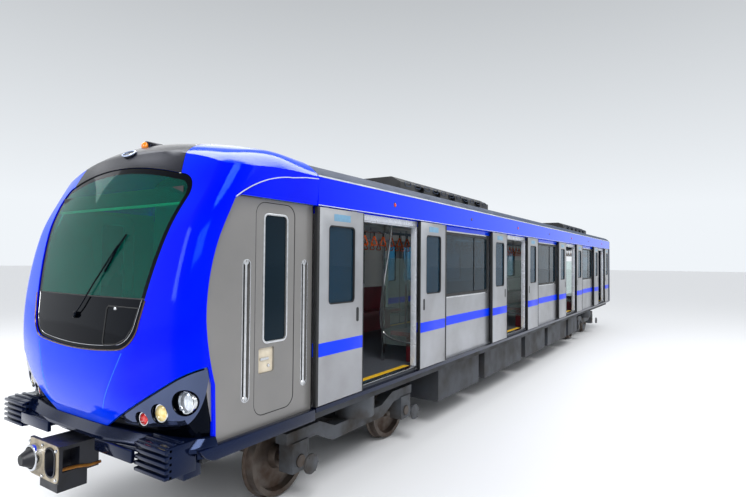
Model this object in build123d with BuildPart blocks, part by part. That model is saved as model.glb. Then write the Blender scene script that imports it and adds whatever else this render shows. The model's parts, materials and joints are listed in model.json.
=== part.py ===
"""Lead car of a metro train, with the driver's cab at -X and the coupled end at +X.

Lengths are in millimetres. X runs along the car, Y across it, and Z up. The origin is
under the middle of the car, level with the tips of the wheel flanges, 28 below the rails.
The doors on the -Y side stand open, and those on the +Y side are shut.
"""

from math import asin, cos, degrees, sin, sqrt, radians
import os

from build123d import *

os.makedirs("parts", exist_ok=True)

# Heights above the rail
flange_depth = 28
floor_height = 1130
sill_height = 1060
frame_bottom = 920
opening_top = 3070
header_bottom = 3147
header_top = 3445
ceiling_height = 3250
shoulder_height = 3610
crown_height = 3730

# Widths from the middle of the car
wall_face = 1380
wall = 60
leaf_gap = 30
leaf_thickness = 40
shoulder_half = 1150
roof_skin = 50

# Lengths from the saloon's front plane
first_door = 1537
door_pitch = 5080
door_count = 4
last_bay = 1823
nose_reach = 1680
coupler_reach = 2020
bar_reach = 380

# Doorways and their leaves
opening_width = 1400
leaf_width = 836
leaf_clearance = 10
leaf_travel = 697
leaf_window = (480, 840)
leaf_window_centre = 2540
leaf_window_corner = 50

# Saloon windows
window_width = 1850
window_height = 1010
window_centre = 2545
window_corner = 70
pane = 6
frame_border = 45

# Wheels and bogies
wheel_diameter = 860
back_to_back = 1360
tyre_width = 135
axle_radius = 80
journal_radius = 65
journal_half = 1110
wheelbase = 2300
bogie_offset = 1325
bogie_spacing = 14300
running_gap = 6

# Rooms for what moves
hinge_gap = 8
hinge_inset = 20
knuckle_radius = 14
knuckle_length = 80
knuckle_gap = 3
hinge_pin = 8
pin_play = 0.3
cab_door_thickness = 45

saloon_length = first_door + (door_count - 1) * door_pitch + last_bay
total_length = coupler_reach + saloon_length + bar_reach
front_x = coupler_reach - total_length / 2
rear_x = front_x + saloon_length
end_wall = 60
saloon_end = rear_x - end_wall
door_centres = [front_x + first_door + i * door_pitch for i in range(door_count)]
leaf_face = wall_face + leaf_gap + leaf_thickness
inner_face = wall_face - wall
header_inner = wall_face - 80
SIDES = (("left", 1), ("right", -1))


def up(height):
    """Height above the origin of a height above the rail."""
    return height + flange_depth


def along(offset):
    """Place along the car of an offset behind the saloon's front plane."""
    return front_x + offset


def block(x, y, z, mode=Mode.ADD):
    """Box between two x, two y and two z values, with z above the rail."""
    middle = ((x[0] + x[1]) / 2, (y[0] + y[1]) / 2, up((z[0] + z[1]) / 2))
    with Locations(middle):
        Box(abs(x[1] - x[0]), abs(y[1] - y[0]), abs(z[1] - z[0]), mode=mode)


def both_sides(x, y, z, mode=Mode.ADD):
    """The same box on the left and on the right of the car."""
    block(x, y, z, mode)
    block(x, (-y[1], -y[0]), z, mode)


def keep(piece, name):
    """Label a finished piece and write it out."""
    piece.part.label = name
    export_step(piece.part, f"parts/{name}.step")


def across(points):
    """Turn (half width, height) pairs into sketch points on a plane across the car."""
    return [(y, up(z)) for y, z in points]


def upright(x):
    """Plane across the car at x, with sketch x along +Y and sketch y up."""
    return Plane(origin=(x, 0, 0), x_dir=(0, 1, 0), z_dir=(1, 0, 0))


def sideways(y):
    """Plane along the car at y, with sketch x along +X and sketch y up."""
    return Plane(origin=(0, y, 0), x_dir=(1, 0, 0), z_dir=(0, -1, 0))


def roof_section(half, base, drop):
    """Section of the roof arch, lowered by drop, down to a flat base."""
    shoulder = shoulder_half - drop * 0.5
    spring = (shoulder, up(shoulder_height - drop))
    bend = ((half + shoulder) / 2 + 25, up((header_top + shoulder_height - drop) / 2 + 30))
    with BuildSketch() as section:
        with BuildLine():
            ThreePointArc(spring, (0, up(crown_height - drop)), (-spring[0], spring[1]))
            ThreePointArc((half, up(header_top)), bend, spring)
            ThreePointArc((-spring[0], spring[1]), (-bend[0], bend[1]), (-half, up(header_top)))
            Polyline((-half, up(header_top)), (-half, up(base)), (half, up(base)), (half, up(header_top)))
        make_face()
    return section.sketch


# Cab form: plan sections, each a front arc and two corner arcs that run into straight sides.
# Columns: height, nose place, front radius, half width, corner radius
cab_sections = [
    (1100, -1575, 4500, 1400, 230),
    (1510, -1680, 4500, 1400, 230),
    (2260, -1600, 8000, 1400, 210),
    (2850, -1490, 8000, 1412, 220),
    (3220, -1335, 7000, 1445, 250),
    (3480, -1120, 5000, 1450, 300),
    (3760, -560, 3000, 1450, 380),
]
mask_thickness = 60
glass_inset = 10
glass_thickness = 14
cab_base = 1100
cab_overrun = 400


def cab_form(inset):
    """The cab's outer form, drawn in by inset all round."""
    back = along(cab_overrun)
    with BuildPart() as form:
        for height, nose, front_radius, half, corner in cab_sections:
            big = front_radius - inset
            small = corner - inset * 0.8
            half_in = half - inset
            front = along(nose) + inset
            centre = front + big - sqrt((big - small) ** 2 - (half_in - small) ** 2)
            slope = asin((half_in - small) / (big - small))
            meet = (front + big - big * cos(slope), big * sin(slope))
            swing = (radians(90) + slope) / 2
            turn = (centre - small * cos(swing), half_in - small + small * sin(swing))
            with BuildSketch(Plane.XY.offset(up(height))):
                with BuildLine():
                    ThreePointArc((meet[0], -meet[1]), (front, 0), meet)
                    ThreePointArc(meet, turn, (centre, half_in))
                    Polyline((centre, half_in), (back, half_in), (back, -half_in), (centre, -half_in))
                    ThreePointArc((centre, -half_in), (turn[0], -turn[1]), (meet[0], -meet[1]))
                make_face()
        loft()
        with BuildSketch(upright(front_x)):
            add(roof_section(leaf_face - inset, cab_base, inset))
        extrude(amount=-2 * nose_reach, mode=Mode.INTERSECT)
    return form.part


def nose_plan(grow, back):
    """Plan of the nose at its foot, grown outwards, back to a straight edge."""
    height, nose, big, half, small = cab_sections[0]
    big, small = big + grow, small + grow
    half = min(half + grow, leaf_face)
    front = along(nose) - grow
    centre = front + big - sqrt((big - small) ** 2 - (half - small) ** 2)
    slope = asin((half - small) / (big - small))
    meet = (front + big - big * cos(slope), big * sin(slope))
    swing = (radians(90) + slope) / 2
    turn = (centre - small * cos(swing), half - small + small * sin(swing))
    with BuildSketch() as plan:
        with BuildLine():
            ThreePointArc((meet[0], -meet[1]), (front, 0), meet)
            ThreePointArc(meet, turn, (centre, half))
            Polyline((centre, half), (back, half), (back, -half), (centre, -half))
            ThreePointArc((centre, -half), (turn[0], -turn[1]), (meet[0], -meet[1]))
        make_face()
    return plan.sketch


# Underframe and floor
solebar_half = 1200
solebar_top = 1080
cab_floor_front = -1300
bearer_width = 120
bolster_length = 700
pivot_radius = 80
pivot_bottom = 540
bogie_centres = [front_x + bogie_offset + i * bogie_spacing for i in range(2)]
bearer_places = [along(2600 + i * 1300) for i in range(9)]
coupler_height = 860
coupler_pivot = along(-1000)
rear_pivot = rear_x - 350
ear_half = 130
ear_thickness = 30
ear_room = 205
cheek_thickness = 50
bracket_half = 250

with BuildPart() as underframe:
    both_sides((along(cab_floor_front), saloon_end), (solebar_half, inner_face),
               (frame_bottom, solebar_top))
    both_sides((along(cab_floor_front), saloon_end), (250, 350), (frame_bottom, solebar_top))
    for x in [along(cab_floor_front) + bearer_width / 2] + bearer_places + [saloon_end - bearer_width / 2]:
        block((x - bearer_width / 2, x + bearer_width / 2), (-solebar_half, solebar_half),
              (frame_bottom + 20, solebar_top))
    for x in bogie_centres:
        block((x - bolster_length / 2, x + bolster_length / 2), (-solebar_half, solebar_half),
              (frame_bottom, solebar_top))
keep(underframe, "underframe")

with BuildPart() as pivot_pins:
    for x in bogie_centres:
        with Locations((x, 0, up((pivot_bottom + frame_bottom) / 2))):
            Cylinder(pivot_radius, frame_bottom - pivot_bottom)
keep(pivot_pins, "pivot_pins")

# Brackets that hold each coupler's eye between two ears. Columns: pivot, way to the cheek
with BuildPart() as coupler_brackets:
    ears_bottom = coupler_height - ear_room / 2 - ear_thickness
    for x, way in ((coupler_pivot, 1), (rear_pivot, -1)):
        for level in (ears_bottom, coupler_height + ear_room / 2):
            block((x - ear_half, x + ear_half), (-ear_half, ear_half), (level, level + ear_thickness))
        block((x + way * ear_half, x + way * (ear_half + cheek_thickness)), (-ear_half, ear_half),
              (ears_bottom, coupler_height + ear_room / 2 + ear_thickness))
        block((x - ear_half, x + ear_half), (-bracket_half, bracket_half),
              (coupler_height + ear_room / 2, coupler_height + ear_room / 2 + ear_thickness))
        both_sides((x - ear_half, x + ear_half), (bracket_half - ear_thickness, bracket_half),
                   (coupler_height + ear_room / 2, solebar_top))
keep(coupler_brackets, "coupler_brackets")

with BuildPart() as floor:
    with BuildSketch(Plane.XY.offset(up(solebar_top))):
        add(nose_plan(-mask_thickness - running_gap, saloon_end))
        with Locations(((along(cab_floor_front) + saloon_end) / 2, 0)):
            Rectangle(saloon_end - along(cab_floor_front), 2 * inner_face, mode=Mode.INTERSECT)
    extrude(amount=floor_height - solebar_top)
    for x in door_centres:
        both_sides((x - opening_width / 2, x + opening_width / 2), (inner_face, wall_face),
                   (sill_height, floor_height))
keep(floor, "floor")

# Saloon sides
bay_ends = [front_x] + [x + s * opening_width / 2 for x in door_centres for s in (-1, 1)] + [saloon_end]
bays = list(zip(bay_ends[::2], bay_ends[1::2]))
window_bays = bays[1:-1]
window_low = window_centre - window_height / 2
window_high = window_centre + window_height / 2


def window_centres():
    """Middle of each saloon window along the car."""
    return [(low + high) / 2 for low, high in window_bays]


def window_opening(side, width, height, corner, depth, middles, mode=Mode.SUBTRACT):
    """Round-cornered prisms across a side wall, one at each place along the car."""
    for x in middles:
        with BuildSketch(sideways(side * depth[0])) as shape:
            with Locations((x, up(window_centre))):
                RectangleRounded(width, height, corner)
        extrude(shape.sketch, amount=-side * (depth[1] - depth[0]), mode=mode)


with BuildPart() as side_panels:
    for name, side in SIDES:
        for low, high in bays:
            block((low, high), (side * inner_face, side * wall_face), (sill_height, opening_top))
        window_opening(side, window_width, window_height, window_corner,
                       (inner_face - 1, wall_face + 1), window_centres())
keep(side_panels, "side_panels")

with BuildPart() as window_frames:
    for name, side in SIDES:
        window_opening(side, window_width, window_height, window_corner,
                       (inner_face + 20, wall_face + 8), window_centres(), Mode.ADD)
        window_opening(side, window_width - 2 * frame_border, window_height - 2 * frame_border,
                       window_corner - 20, (inner_face, wall_face + 20), window_centres())
keep(window_frames, "window_frames")

with BuildPart() as glazing:
    for name, side in SIDES:
        window_opening(side, window_width - 2 * frame_border, window_height - 2 * frame_border,
                       window_corner - 20, (wall_face - 12, wall_face - 12 + pane),
                       window_centres(), Mode.ADD)
keep(glazing, "glazing")

# Header boxes over the doors, open below for the leaves' hangers
cover = 10
with BuildPart() as headers:
    for name, side in SIDES:
        block((front_x, saloon_end), (side * header_inner, side * wall_face), (opening_top, header_top))
        block((front_x, saloon_end), (side * wall_face, side * leaf_face), (header_top - cover, header_top))
        block((front_x, saloon_end), (side * (leaf_face - cover), side * leaf_face),
              (header_bottom, header_top))
keep(headers, "headers")

# Sill rails along the foot of the sides
sill_rail_top = 1085
with BuildPart() as sill_rails:
    both_sides((front_x, saloon_end), (wall_face, leaf_face), (sill_height - 20, sill_rail_top))
keep(sill_rails, "sill_rails")

with BuildPart() as roof:
    with BuildSketch(upright(front_x)):
        add(roof_section(leaf_face, header_bottom, 0))
        add(roof_section(header_inner, header_bottom, roof_skin), mode=Mode.SUBTRACT)
        with Locations((0, up(header_bottom))):
            Rectangle(4 * leaf_face, 2 * (header_top - header_bottom), mode=Mode.SUBTRACT)
    extrude(amount=saloon_end - front_x)
keep(roof, "roof")

ceiling_thickness = 20
bulkhead_thickness = 60
with BuildPart() as ceiling:
    block((front_x + bulkhead_thickness, saloon_end), (-header_inner, header_inner),
          (ceiling_height, ceiling_height + ceiling_thickness))
keep(ceiling, "ceiling")

# Cab partition with its doorway's door shut in it
partition_door = 620
with BuildPart() as partition:
    block((front_x, front_x + bulkhead_thickness), (-header_inner, header_inner),
          (floor_height, ceiling_height + ceiling_thickness))
    both_sides((front_x, front_x + bulkhead_thickness), (header_inner, inner_face), (floor_height, opening_top))
    block((front_x - 4, front_x + bulkhead_thickness + 4), (-partition_door / 2, partition_door / 2),
          (floor_height + 20, floor_height + 1950))
keep(partition, "partition")

# End wall with the gangway's opening
gangway_half = 650
gangway_top = 3130
gangway_depth = 330
with BuildPart() as end_plate:
    with BuildSketch(upright(saloon_end)):
        add(roof_section(leaf_face, sill_height, 0))
    extrude(amount=end_wall)
    block((saloon_end - 1, rear_x + 1), (-gangway_half, gangway_half), (floor_height, gangway_top),
          Mode.SUBTRACT)
keep(end_plate, "end_wall")

fold_pitch = 40
fold_count = 7
frame_depth = 30
frame_width = 90


def gangway_ring(x0, x1, reach):
    """Round-cornered ring about the gangway's opening that stands out by reach."""
    middle = (0, up((floor_height + gangway_top) / 2))
    tall = gangway_top - floor_height
    with BuildSketch(upright(x0)) as ring:
        with Locations(middle):
            RectangleRounded(2 * (gangway_half + reach), tall + 2 * reach, 60)
            RectangleRounded(2 * gangway_half, tall, 20, mode=Mode.SUBTRACT)
    extrude(ring.sketch, amount=x1 - x0)


with BuildPart() as gangway:
    for i in range(fold_count):
        start = rear_x + i * fold_pitch
        gangway_ring(start, start + fold_pitch / 2, 60)
        gangway_ring(start + fold_pitch / 2, start + fold_pitch, 110)
    face_x = rear_x + fold_count * fold_pitch
    gangway_ring(face_x, face_x + frame_depth, frame_width)
    with BuildSketch(upright(face_x + frame_depth)):
        with Locations((0, up((floor_height + gangway_top) / 2))):
            with GridLocations(2 * gangway_half + frame_width, gangway_top - floor_height + frame_width, 2, 2):
                Circle(9)
    extrude(amount=-frame_depth, mode=Mode.SUBTRACT)
keep(gangway, "gangway")

# Cab shell: mask, windscreen and nose panel come from one form
cab_outer = cab_form(0)
cab_inner = cab_form(mask_thickness)
glass_outer = cab_form(glass_inset)
glass_inner = cab_form(glass_inset + glass_thickness)
screen_gap = 6
screen_bottom = 2250
# Rear edge of the mask on the car's side, upwards. Columns: place, height
mask_edge = [(-1217, 1100), (-1332, 2260), (-1220, 2800), (-1087, 3110)]
lamp_low_half = 405
lamp_low = 1130
lamp_high = 1720


def aperture(shrink):
    """Outline of the windscreen and the panel below it, seen from the front."""
    with BuildSketch() as outline:
        with BuildLine():
            low = ThreePointArc((-640, up(1822)), (0, up(1785)), (640, up(1822)))
            right = ThreePointArc(low @ 1, (810, up(1910)), (872, up(2050)))
            edge = ThreePointArc(right @ 1, (985, up(2660)), (1118, up(3200)))
            top = ThreePointArc(edge @ 1, (0, up(3425)), (-1118, up(3200)))
            left = ThreePointArc(top @ 1, (-985, up(2660)), (-872, up(2050)))
            ThreePointArc(left @ 1, (-810, up(1910)), low @ 0)
        make_face()
        fillet(outline.vertices().group_by(Axis.Y)[-1], 90)
        if shrink:
            offset(amount=-shrink, mode=Mode.REPLACE)
    return outline.sketch


def lamp_region():
    """Outline of the two lamp panels, seen from the front."""
    reach = leaf_face + 50
    slope = (lamp_high - lamp_low) / (cab_sections[0][3] - lamp_low_half)
    with BuildSketch() as outline:
        with BuildLine():
            Polyline((lamp_low_half, up(lamp_low)), (reach, up(lamp_low + slope * (reach - lamp_low_half))),
                     (reach, up(cab_base - 10)), (lamp_low_half, up(cab_base - 10)), close=True)
        make_face()
        mirror(about=Plane.YZ)
    return outline.sketch


def side_region():
    """Outline of the cab's side behind the mask, seen from the side."""
    with BuildSketch() as outline:
        with BuildLine():
            points = [(along(x), up(z)) for x, z in mask_edge]
            ThreePointArc(points[0], points[1], points[2])
            Polyline(points[2], points[3], (along(-1040), up(header_bottom)), (front_x, up(header_bottom)),
                     (front_x, up(cab_base - 100)), (points[0][0], up(cab_base - 100)), points[0])
        make_face()
    return outline.sketch


with BuildPart() as cab_mask:
    add(cab_outer)
    add(cab_inner, mode=Mode.SUBTRACT)
    with BuildSketch(sideways(0)):
        add(side_region())
    extrude(amount=2 * wall_face, both=True, mode=Mode.SUBTRACT)
    with BuildSketch(upright(along(-2 * nose_reach))):
        add(aperture(0))
        add(lamp_region())
    extrude(amount=2 * nose_reach - 900, mode=Mode.SUBTRACT)
keep(cab_mask, "cab_mask")

with BuildPart() as windscreen:
    add(glass_outer)
    add(glass_inner, mode=Mode.SUBTRACT)
    with BuildSketch(upright(along(-2 * nose_reach))):
        add(aperture(screen_gap))
    extrude(amount=2 * nose_reach - 900, mode=Mode.INTERSECT)
    block((along(-2 * nose_reach), front_x), (-1300, 1300), (1500, screen_bottom), Mode.SUBTRACT)
keep(windscreen, "windscreen")

with BuildPart() as nose_panel:
    add(glass_outer)
    add(glass_inner, mode=Mode.SUBTRACT)
    with BuildSketch(upright(along(-2 * nose_reach))):
        add(aperture(screen_gap))
    extrude(amount=2 * nose_reach - 900, mode=Mode.INTERSECT)
    block((along(-2 * nose_reach), front_x), (-1300, 1300), (screen_bottom, 3600), Mode.SUBTRACT)
keep(nose_panel, "nose_panel")

# Lamps. Columns: place, half width, height, radius, turn outwards in degrees
lamps = [
    (-1551, 882, 1267, 60, 11),
    (-1524, 1083, 1341, 66, 15),
    (-1478, 1275, 1446, 90, 24),
]
lamp_depth = 90
lamp_proud = 12


def lamp_plane(lamp, side, forward):
    """Plane on a lamp's axis, facing out of the lamp, forward of its face."""
    x, y, z, radius, turn = lamp
    out = Vector(-cos(radians(turn)), side * sin(radians(turn)), 0)
    return Plane(origin=Vector(along(x), side * y, up(z)) + out * forward, x_dir=(0, 0, 1), z_dir=out)


with BuildPart() as lamp_panels:
    add(glass_outer)
    add(cab_inner, mode=Mode.SUBTRACT)
    with BuildSketch(upright(along(-2 * nose_reach))):
        add(lamp_region())
    extrude(amount=2 * nose_reach - 900, mode=Mode.INTERSECT)
    with BuildSketch(sideways(0)):
        add(side_region())
    extrude(amount=2 * wall_face, both=True, mode=Mode.SUBTRACT)
    for name, side in SIDES:
        for lamp in lamps:
            with BuildSketch(lamp_plane(lamp, side, 100)):
                Circle(lamp[3] + 1)
            extrude(amount=-300, mode=Mode.SUBTRACT)
keep(lamp_panels, "lamp_panels")

with BuildPart() as lamp_rings:
    for name, side in SIDES:
        for lamp in lamps:
            with BuildSketch(lamp_plane(lamp, side, lamp_proud)):
                Circle(lamp[3])
            extrude(amount=-lamp_depth)
            with BuildSketch(lamp_plane(lamp, side, lamp_proud)):
                Circle(lamp[3] - 12)
            extrude(amount=-lamp_depth / 3, mode=Mode.SUBTRACT)
keep(lamp_rings, "lamp_rings")

# Cab sides with their doors, windows and sunk handrails
cab_door = (-790, -280)
cab_door_low = 1180
cab_door_high = 3110
cab_door_corner = 110
cab_window = (-680, -390)
cab_window_low = 1835
cab_window_high = 3000
cab_window_corner = 40
rail_places = (-900, -125)
rail_low = 1340
rail_high = 2585
pocket_width = 84
pocket_depth = 34
rail_radius = 15
hinge_levels = (1450, 2145, 2840)
hinge_x = along(cab_door[1] + hinge_gap / 2)
hinge_half = inner_face - hinge_inset
wing_length = 60


def side_patch(side, x, z, corner, depth, mode):
    """Round-cornered prism on a cab side between two depths from the car's middle."""
    with BuildSketch(sideways(side * depth[0])) as patch:
        with Locations((along((x[0] + x[1]) / 2), up((z[0] + z[1]) / 2))):
            RectangleRounded(x[1] - x[0], z[1] - z[0], corner)
    extrude(patch.sketch, amount=-side * (depth[1] - depth[0]), mode=mode)


def knuckle(side, level, length, way):
    """Round hinge knuckle about the cab door's axis, on a wing that runs away from it."""
    with Locations((hinge_x, side * hinge_half, up(level))):
        Cylinder(knuckle_radius, length)
    reach = wall_face - 3 - cab_door_thickness if way < 0 else inner_face
    wing = sorted((hinge_x + way * (hinge_gap / 2), hinge_x + way * wing_length))
    block(wing, (side * hinge_half, side * reach), (level - length / 2, level + length / 2))
    block((hinge_x, hinge_x + way * wing_length), (side * hinge_half, side * (hinge_half + knuckle_radius)),
          (level - length / 2, level + length / 2))


def widen(span, amount):
    """A span made wider by amount at both ends."""
    return (span[0] - amount, span[1] + amount)


with BuildPart() as cab_sides:
    for name, side in SIDES:
        with BuildSketch(sideways(side * inner_face)):
            add(side_region())
        extrude(amount=-side * wall)
        side_patch(side, widen(cab_door, hinge_gap), widen((cab_door_low, cab_door_high), hinge_gap),
                   cab_door_corner + hinge_gap, (inner_face - 1, wall_face + 1), Mode.SUBTRACT)
        for x in rail_places:
            pocket = (x - pocket_width / 2, x + pocket_width / 2)
            side_patch(side, pocket, (rail_low, rail_high), pocket_width / 2 - 1,
                       (wall_face - pocket_depth, wall_face + 1), Mode.SUBTRACT)
            with BuildSketch(Plane.XY.offset(up(rail_low))):
                with Locations((along(x), side * (wall_face - rail_radius))):
                    Circle(rail_radius)
            extrude(amount=rail_high - rail_low)
        for level in hinge_levels:
            for way in (1, -1):
                knuckle(side, level + way * 0.75 * (knuckle_length + knuckle_gap), knuckle_length / 2, 1)
            with Locations((hinge_x, side * hinge_half, up(level))):
                Cylinder(hinge_pin, 2 * knuckle_length)
    block((along(-1400), front_x), (-wall_face - 1, wall_face + 1), (cab_base - 100, sill_height), Mode.SUBTRACT)
keep(cab_sides, "cab_sides")

for name, side in SIDES:
    with BuildPart() as cab_leaf:
        face = wall_face - 3
        side_patch(side, cab_door, (cab_door_low, cab_door_high), cab_door_corner,
                   (face - cab_door_thickness, face), Mode.ADD)
        side_patch(side, cab_window, (cab_window_low, cab_window_high), cab_window_corner,
                   (face - cab_door_thickness - 1, face + 1), Mode.SUBTRACT)
        side_patch(side, (-740, -540), (1550, 1780), 20, (face - 25, face + 1), Mode.SUBTRACT)
        side_patch(side, widen(cab_window, -1), widen((cab_window_low, cab_window_high), -1),
                   cab_window_corner, (face - 20, face - 20 + pane), Mode.ADD)
        for level in hinge_levels:
            knuckle(side, level, knuckle_length, -1)
            with Locations((hinge_x, side * hinge_half, up(level))):
                Cylinder(hinge_pin + pin_play, knuckle_length + 2, mode=Mode.SUBTRACT)
    keep(cab_leaf, f"cab_door_{name}")

# Dark cap over the cab's roof
cap_half = 1100
cap_crown = 3800
cap_back = 260
with BuildPart() as roof_cap:
    with BuildSketch(sideways(-cap_half)):
        with BuildLine():
            brow = ThreePointArc((along(-1225), up(3515)), (along(-930), up(3680)), (along(-330), up(cap_crown)))
            Polyline(brow @ 1, (along(0), up(cap_crown)), (along(cap_back), up(cap_crown - 40)),
                     (along(cap_back), up(3440)), (along(-1225), up(3440)), brow @ 0)
        make_face()
    extrude(amount=-2 * cap_half)
    with BuildSketch(upright(along(cap_back + 10))):
        with BuildLine():
            crown = ThreePointArc((cap_half, up(3590)), (0, up(cap_crown)), (-cap_half, up(3590)))
            Polyline(crown @ 1, (-cap_half, up(3400)), (cap_half, up(3400)), crown @ 0)
        make_face()
    extrude(amount=-2000, mode=Mode.INTERSECT)
    add(cab_outer, mode=Mode.SUBTRACT)
    with BuildSketch(upright(front_x)):
        add(roof_section(leaf_face, header_bottom, 0))
    extrude(amount=2 * cap_back, mode=Mode.SUBTRACT)
    with BuildSketch(Plane.XY.offset(up(3680))):
        with Locations((along(-970), 0)):
            Circle(55)
    extrude(amount=70)
keep(roof_cap, "roof_cap")

# Bumper apron and ribbed end blocks
apron_reach = 55
apron_low = 1010
apron_high = 1100
block_half = (930, 1320)
block_top = 1165
block_low = 770
block_front = -1665
block_back = -1390
rib_count = 6


with BuildPart() as apron:
    with BuildSketch(Plane.XY.offset(up(apron_low))):
        add(nose_plan(apron_reach, front_x))
        add(nose_plan(-mask_thickness, front_x + 1), mode=Mode.SUBTRACT)
    extrude(amount=apron_high - apron_low)
    with BuildSketch(Plane.XY.offset(up(apron_low))):
        add(nose_plan(apron_reach + 50, front_x))
        with Locations((along(block_back) + 1000, 0)):
            Rectangle(2000, 4000, mode=Mode.SUBTRACT)
    extrude(amount=apron_high - apron_low)
    block((along(cab_floor_front - 10), front_x), (-wall_face, wall_face),
          (apron_low - 1, apron_high + 1), Mode.SUBTRACT)
    both_sides((along(block_front + 60), along(cab_floor_front)), (560, 640), (820, apron_low))
keep(apron, "apron")

with BuildPart() as bumpers:
    both_sides((along(block_front + 40), along(block_back)), block_half, (block_low, apron_low))
    pitch = (apron_low - block_low) / rib_count
    for i in range(rib_count):
        low = block_low + i * pitch
        both_sides((along(block_front), along(block_front + 40)), block_half, (low, low + pitch / 2))
    both_sides((along(block_back), along(-1300)), (1000, 1250), (block_low + 40, apron_low))
keep(bumpers, "bumpers")

# Front coupler: face plate with cone and funnel, head, shank and pivot eye
face_x = -1890
plate_thickness = 30
plate_half = 250
plate_low = 700
plate_high = 1010
with BuildPart() as front_coupler:
    block((along(face_x), along(face_x + plate_thickness)), (-plate_half, plate_half), (plate_low, plate_high))
    block((along(face_x + plate_thickness), along(-1520)), (-190, 190), (735, 985))
    with BuildSketch(upright(along(face_x))):
        with Locations((130, up(coupler_height))):
            Circle(95)
    extrude(amount=-40)
    with Locations((along((face_x - coupler_reach - 40) / 2), 130, up(coupler_height))):
        Cone(95, 45, coupler_reach + face_x - 40, rotation=(0, -90, 0))
    with BuildSketch(upright(along(face_x))):
        with Locations((-125, up(coupler_height))):
            RectangleRounded(160, 240, 70)
    extrude(amount=200, mode=Mode.SUBTRACT)
    with Locations((along(-1260), 0, up(coupler_height))):
        Cylinder(70, 540, rotation=(0, 90, 0))
    with Locations((coupler_pivot, 0, up(coupler_height))):
        Cylinder(100, ear_room - 2 * running_gap)
    block((along(face_x + 40), along(-1600)), (-150, 150), (590, 735))
keep(front_coupler, "front_coupler")

with BuildPart() as rear_coupler:
    with Locations((rear_pivot, 0, up(coupler_height))):
        Cylinder(100, ear_room - 2 * running_gap)
    with Locations(((rear_pivot + rear_x + bar_reach) / 2, 0, up(coupler_height))):
        Cylinder(65, rear_x + bar_reach - rear_pivot, rotation=(0, 90, 0))
    with BuildSketch(upright(rear_x + bar_reach)):
        with Locations((0, up(coupler_height))):
            Circle(150)
            with PolarLocations(115, 6):
                Circle(13, mode=Mode.SUBTRACT)
    extrude(amount=-40)
keep(rear_coupler, "rear_coupler")

# Air conditioning units on the roof
unit_length = 3600
unit_half = 1000
unit_top = 3850
unit_places = (4250, 14450)
with BuildPart() as air_units:
    for x in unit_places:
        with BuildSketch(upright(along(x - unit_length / 2))):
            Polygon(*across([(-unit_half, 3560), (-unit_half, unit_top - 90), (-unit_half + 160, unit_top),
                             (unit_half - 160, unit_top), (unit_half, unit_top - 90), (unit_half, 3560)]),
                    align=None)
        extrude(amount=unit_length)
        for side in (1, -1):
            with BuildSketch(sideways(side * (unit_half + 1))):
                with GridLocations(0, 0, 1, 1):
                    for i in range(5):
                        with Locations((along(x) + (i - 2) * 600, up(3705))):
                            SlotOverall(300, 90)
            extrude(amount=side * 60, mode=Mode.SUBTRACT)
    with BuildSketch(upright(front_x)):
        add(roof_section(leaf_face, header_bottom, 0))
    extrude(amount=saloon_end - front_x, mode=Mode.SUBTRACT)
keep(air_units, "air_units")

# Inside: benches, screens, grab rails and hanging straps
seat_depth = 450
seat_height = 430
bench_inset = 180
back_thickness = 60
back_height = 900
with BuildPart() as benches:
    for low, high in window_bays:
        x = (low + bench_inset, high - bench_inset)
        both_sides(x, (inner_face - seat_depth, inner_face - 2),
                   (floor_height + seat_height - 60, floor_height + seat_height))
        both_sides(x, (inner_face - back_thickness, inner_face - 2),
                   (floor_height + seat_height, floor_height + back_height))
        both_sides((x[0] + 60, x[1] - 60), (inner_face - 220, inner_face - 2),
                   (floor_height, floor_height + seat_height - 60))
keep(benches, "benches")

screen_depth = 520
screen_thickness = 12
with BuildPart() as screens:
    for low, high in window_bays:
        for x in (low + 100, high - 100 - screen_thickness):
            both_sides((x, x + screen_thickness), (inner_face - screen_depth, inner_face),
                       (floor_height + 250, floor_height + 1500))
keep(screens, "screens")

pole = 17
rail_half = 800
strap_rail = 3000
with BuildPart() as grab_rails:
    for side in (1, -1):
        for low, high in window_bays:
            for x in (low + 106, high - 106):
                block((x - pole, x + pole), (side * (inner_face - screen_depth - 2 * pole),
                      side * (inner_face - screen_depth)), (floor_height, ceiling_height))
            block((low + 106, high - 106), (side * (rail_half - pole), side * (rail_half + pole)),
                  (strap_rail - pole, strap_rail + pole))
keep(grab_rails, "grab_rails")

strap_pitch = 420
strap_count = 6
with BuildPart() as straps:
    for side in (1, -1):
        for low, high in window_bays:
            for i in range(strap_count):
                x = (low + high) / 2 + (i - (strap_count - 1) / 2) * strap_pitch
                y = side * (rail_half - pole - 8)
                with BuildSketch(sideways(y - 8)):
                    with Locations((x, up(strap_rail - 210))):
                        Triangle(a=150, B=60, C=60, align=(Align.CENTER, Align.CENTER))
                        Triangle(a=96, B=60, C=60, align=(Align.CENTER, Align.CENTER), mode=Mode.SUBTRACT)
                extrude(amount=-16)
                block((x - 15, x + 15), (y - 8, y + 8), (strap_rail - 160, strap_rail + pole + 12))
keep(straps, "straps")

# Driver's desk and seat
with BuildPart() as desk:
    block((along(-1380), along(-1020)), (-900, 900), (floor_height + 700, floor_height + 860))
    block((along(-1320), along(-1120)), (-860, 860), (floor_height, floor_height + 700))
keep(desk, "desk")

with BuildPart() as driver_seat:
    block((along(-760), along(-320)), (-230, 230), (floor_height + 440, floor_height + 540))
    block((along(-380), along(-290)), (-220, 220), (floor_height + 540, floor_height + 1150))
    with Locations((along(-540), 0, up(floor_height + 220))):
        Cylinder(60, 440)
keep(driver_seat, "driver_seat")

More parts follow.
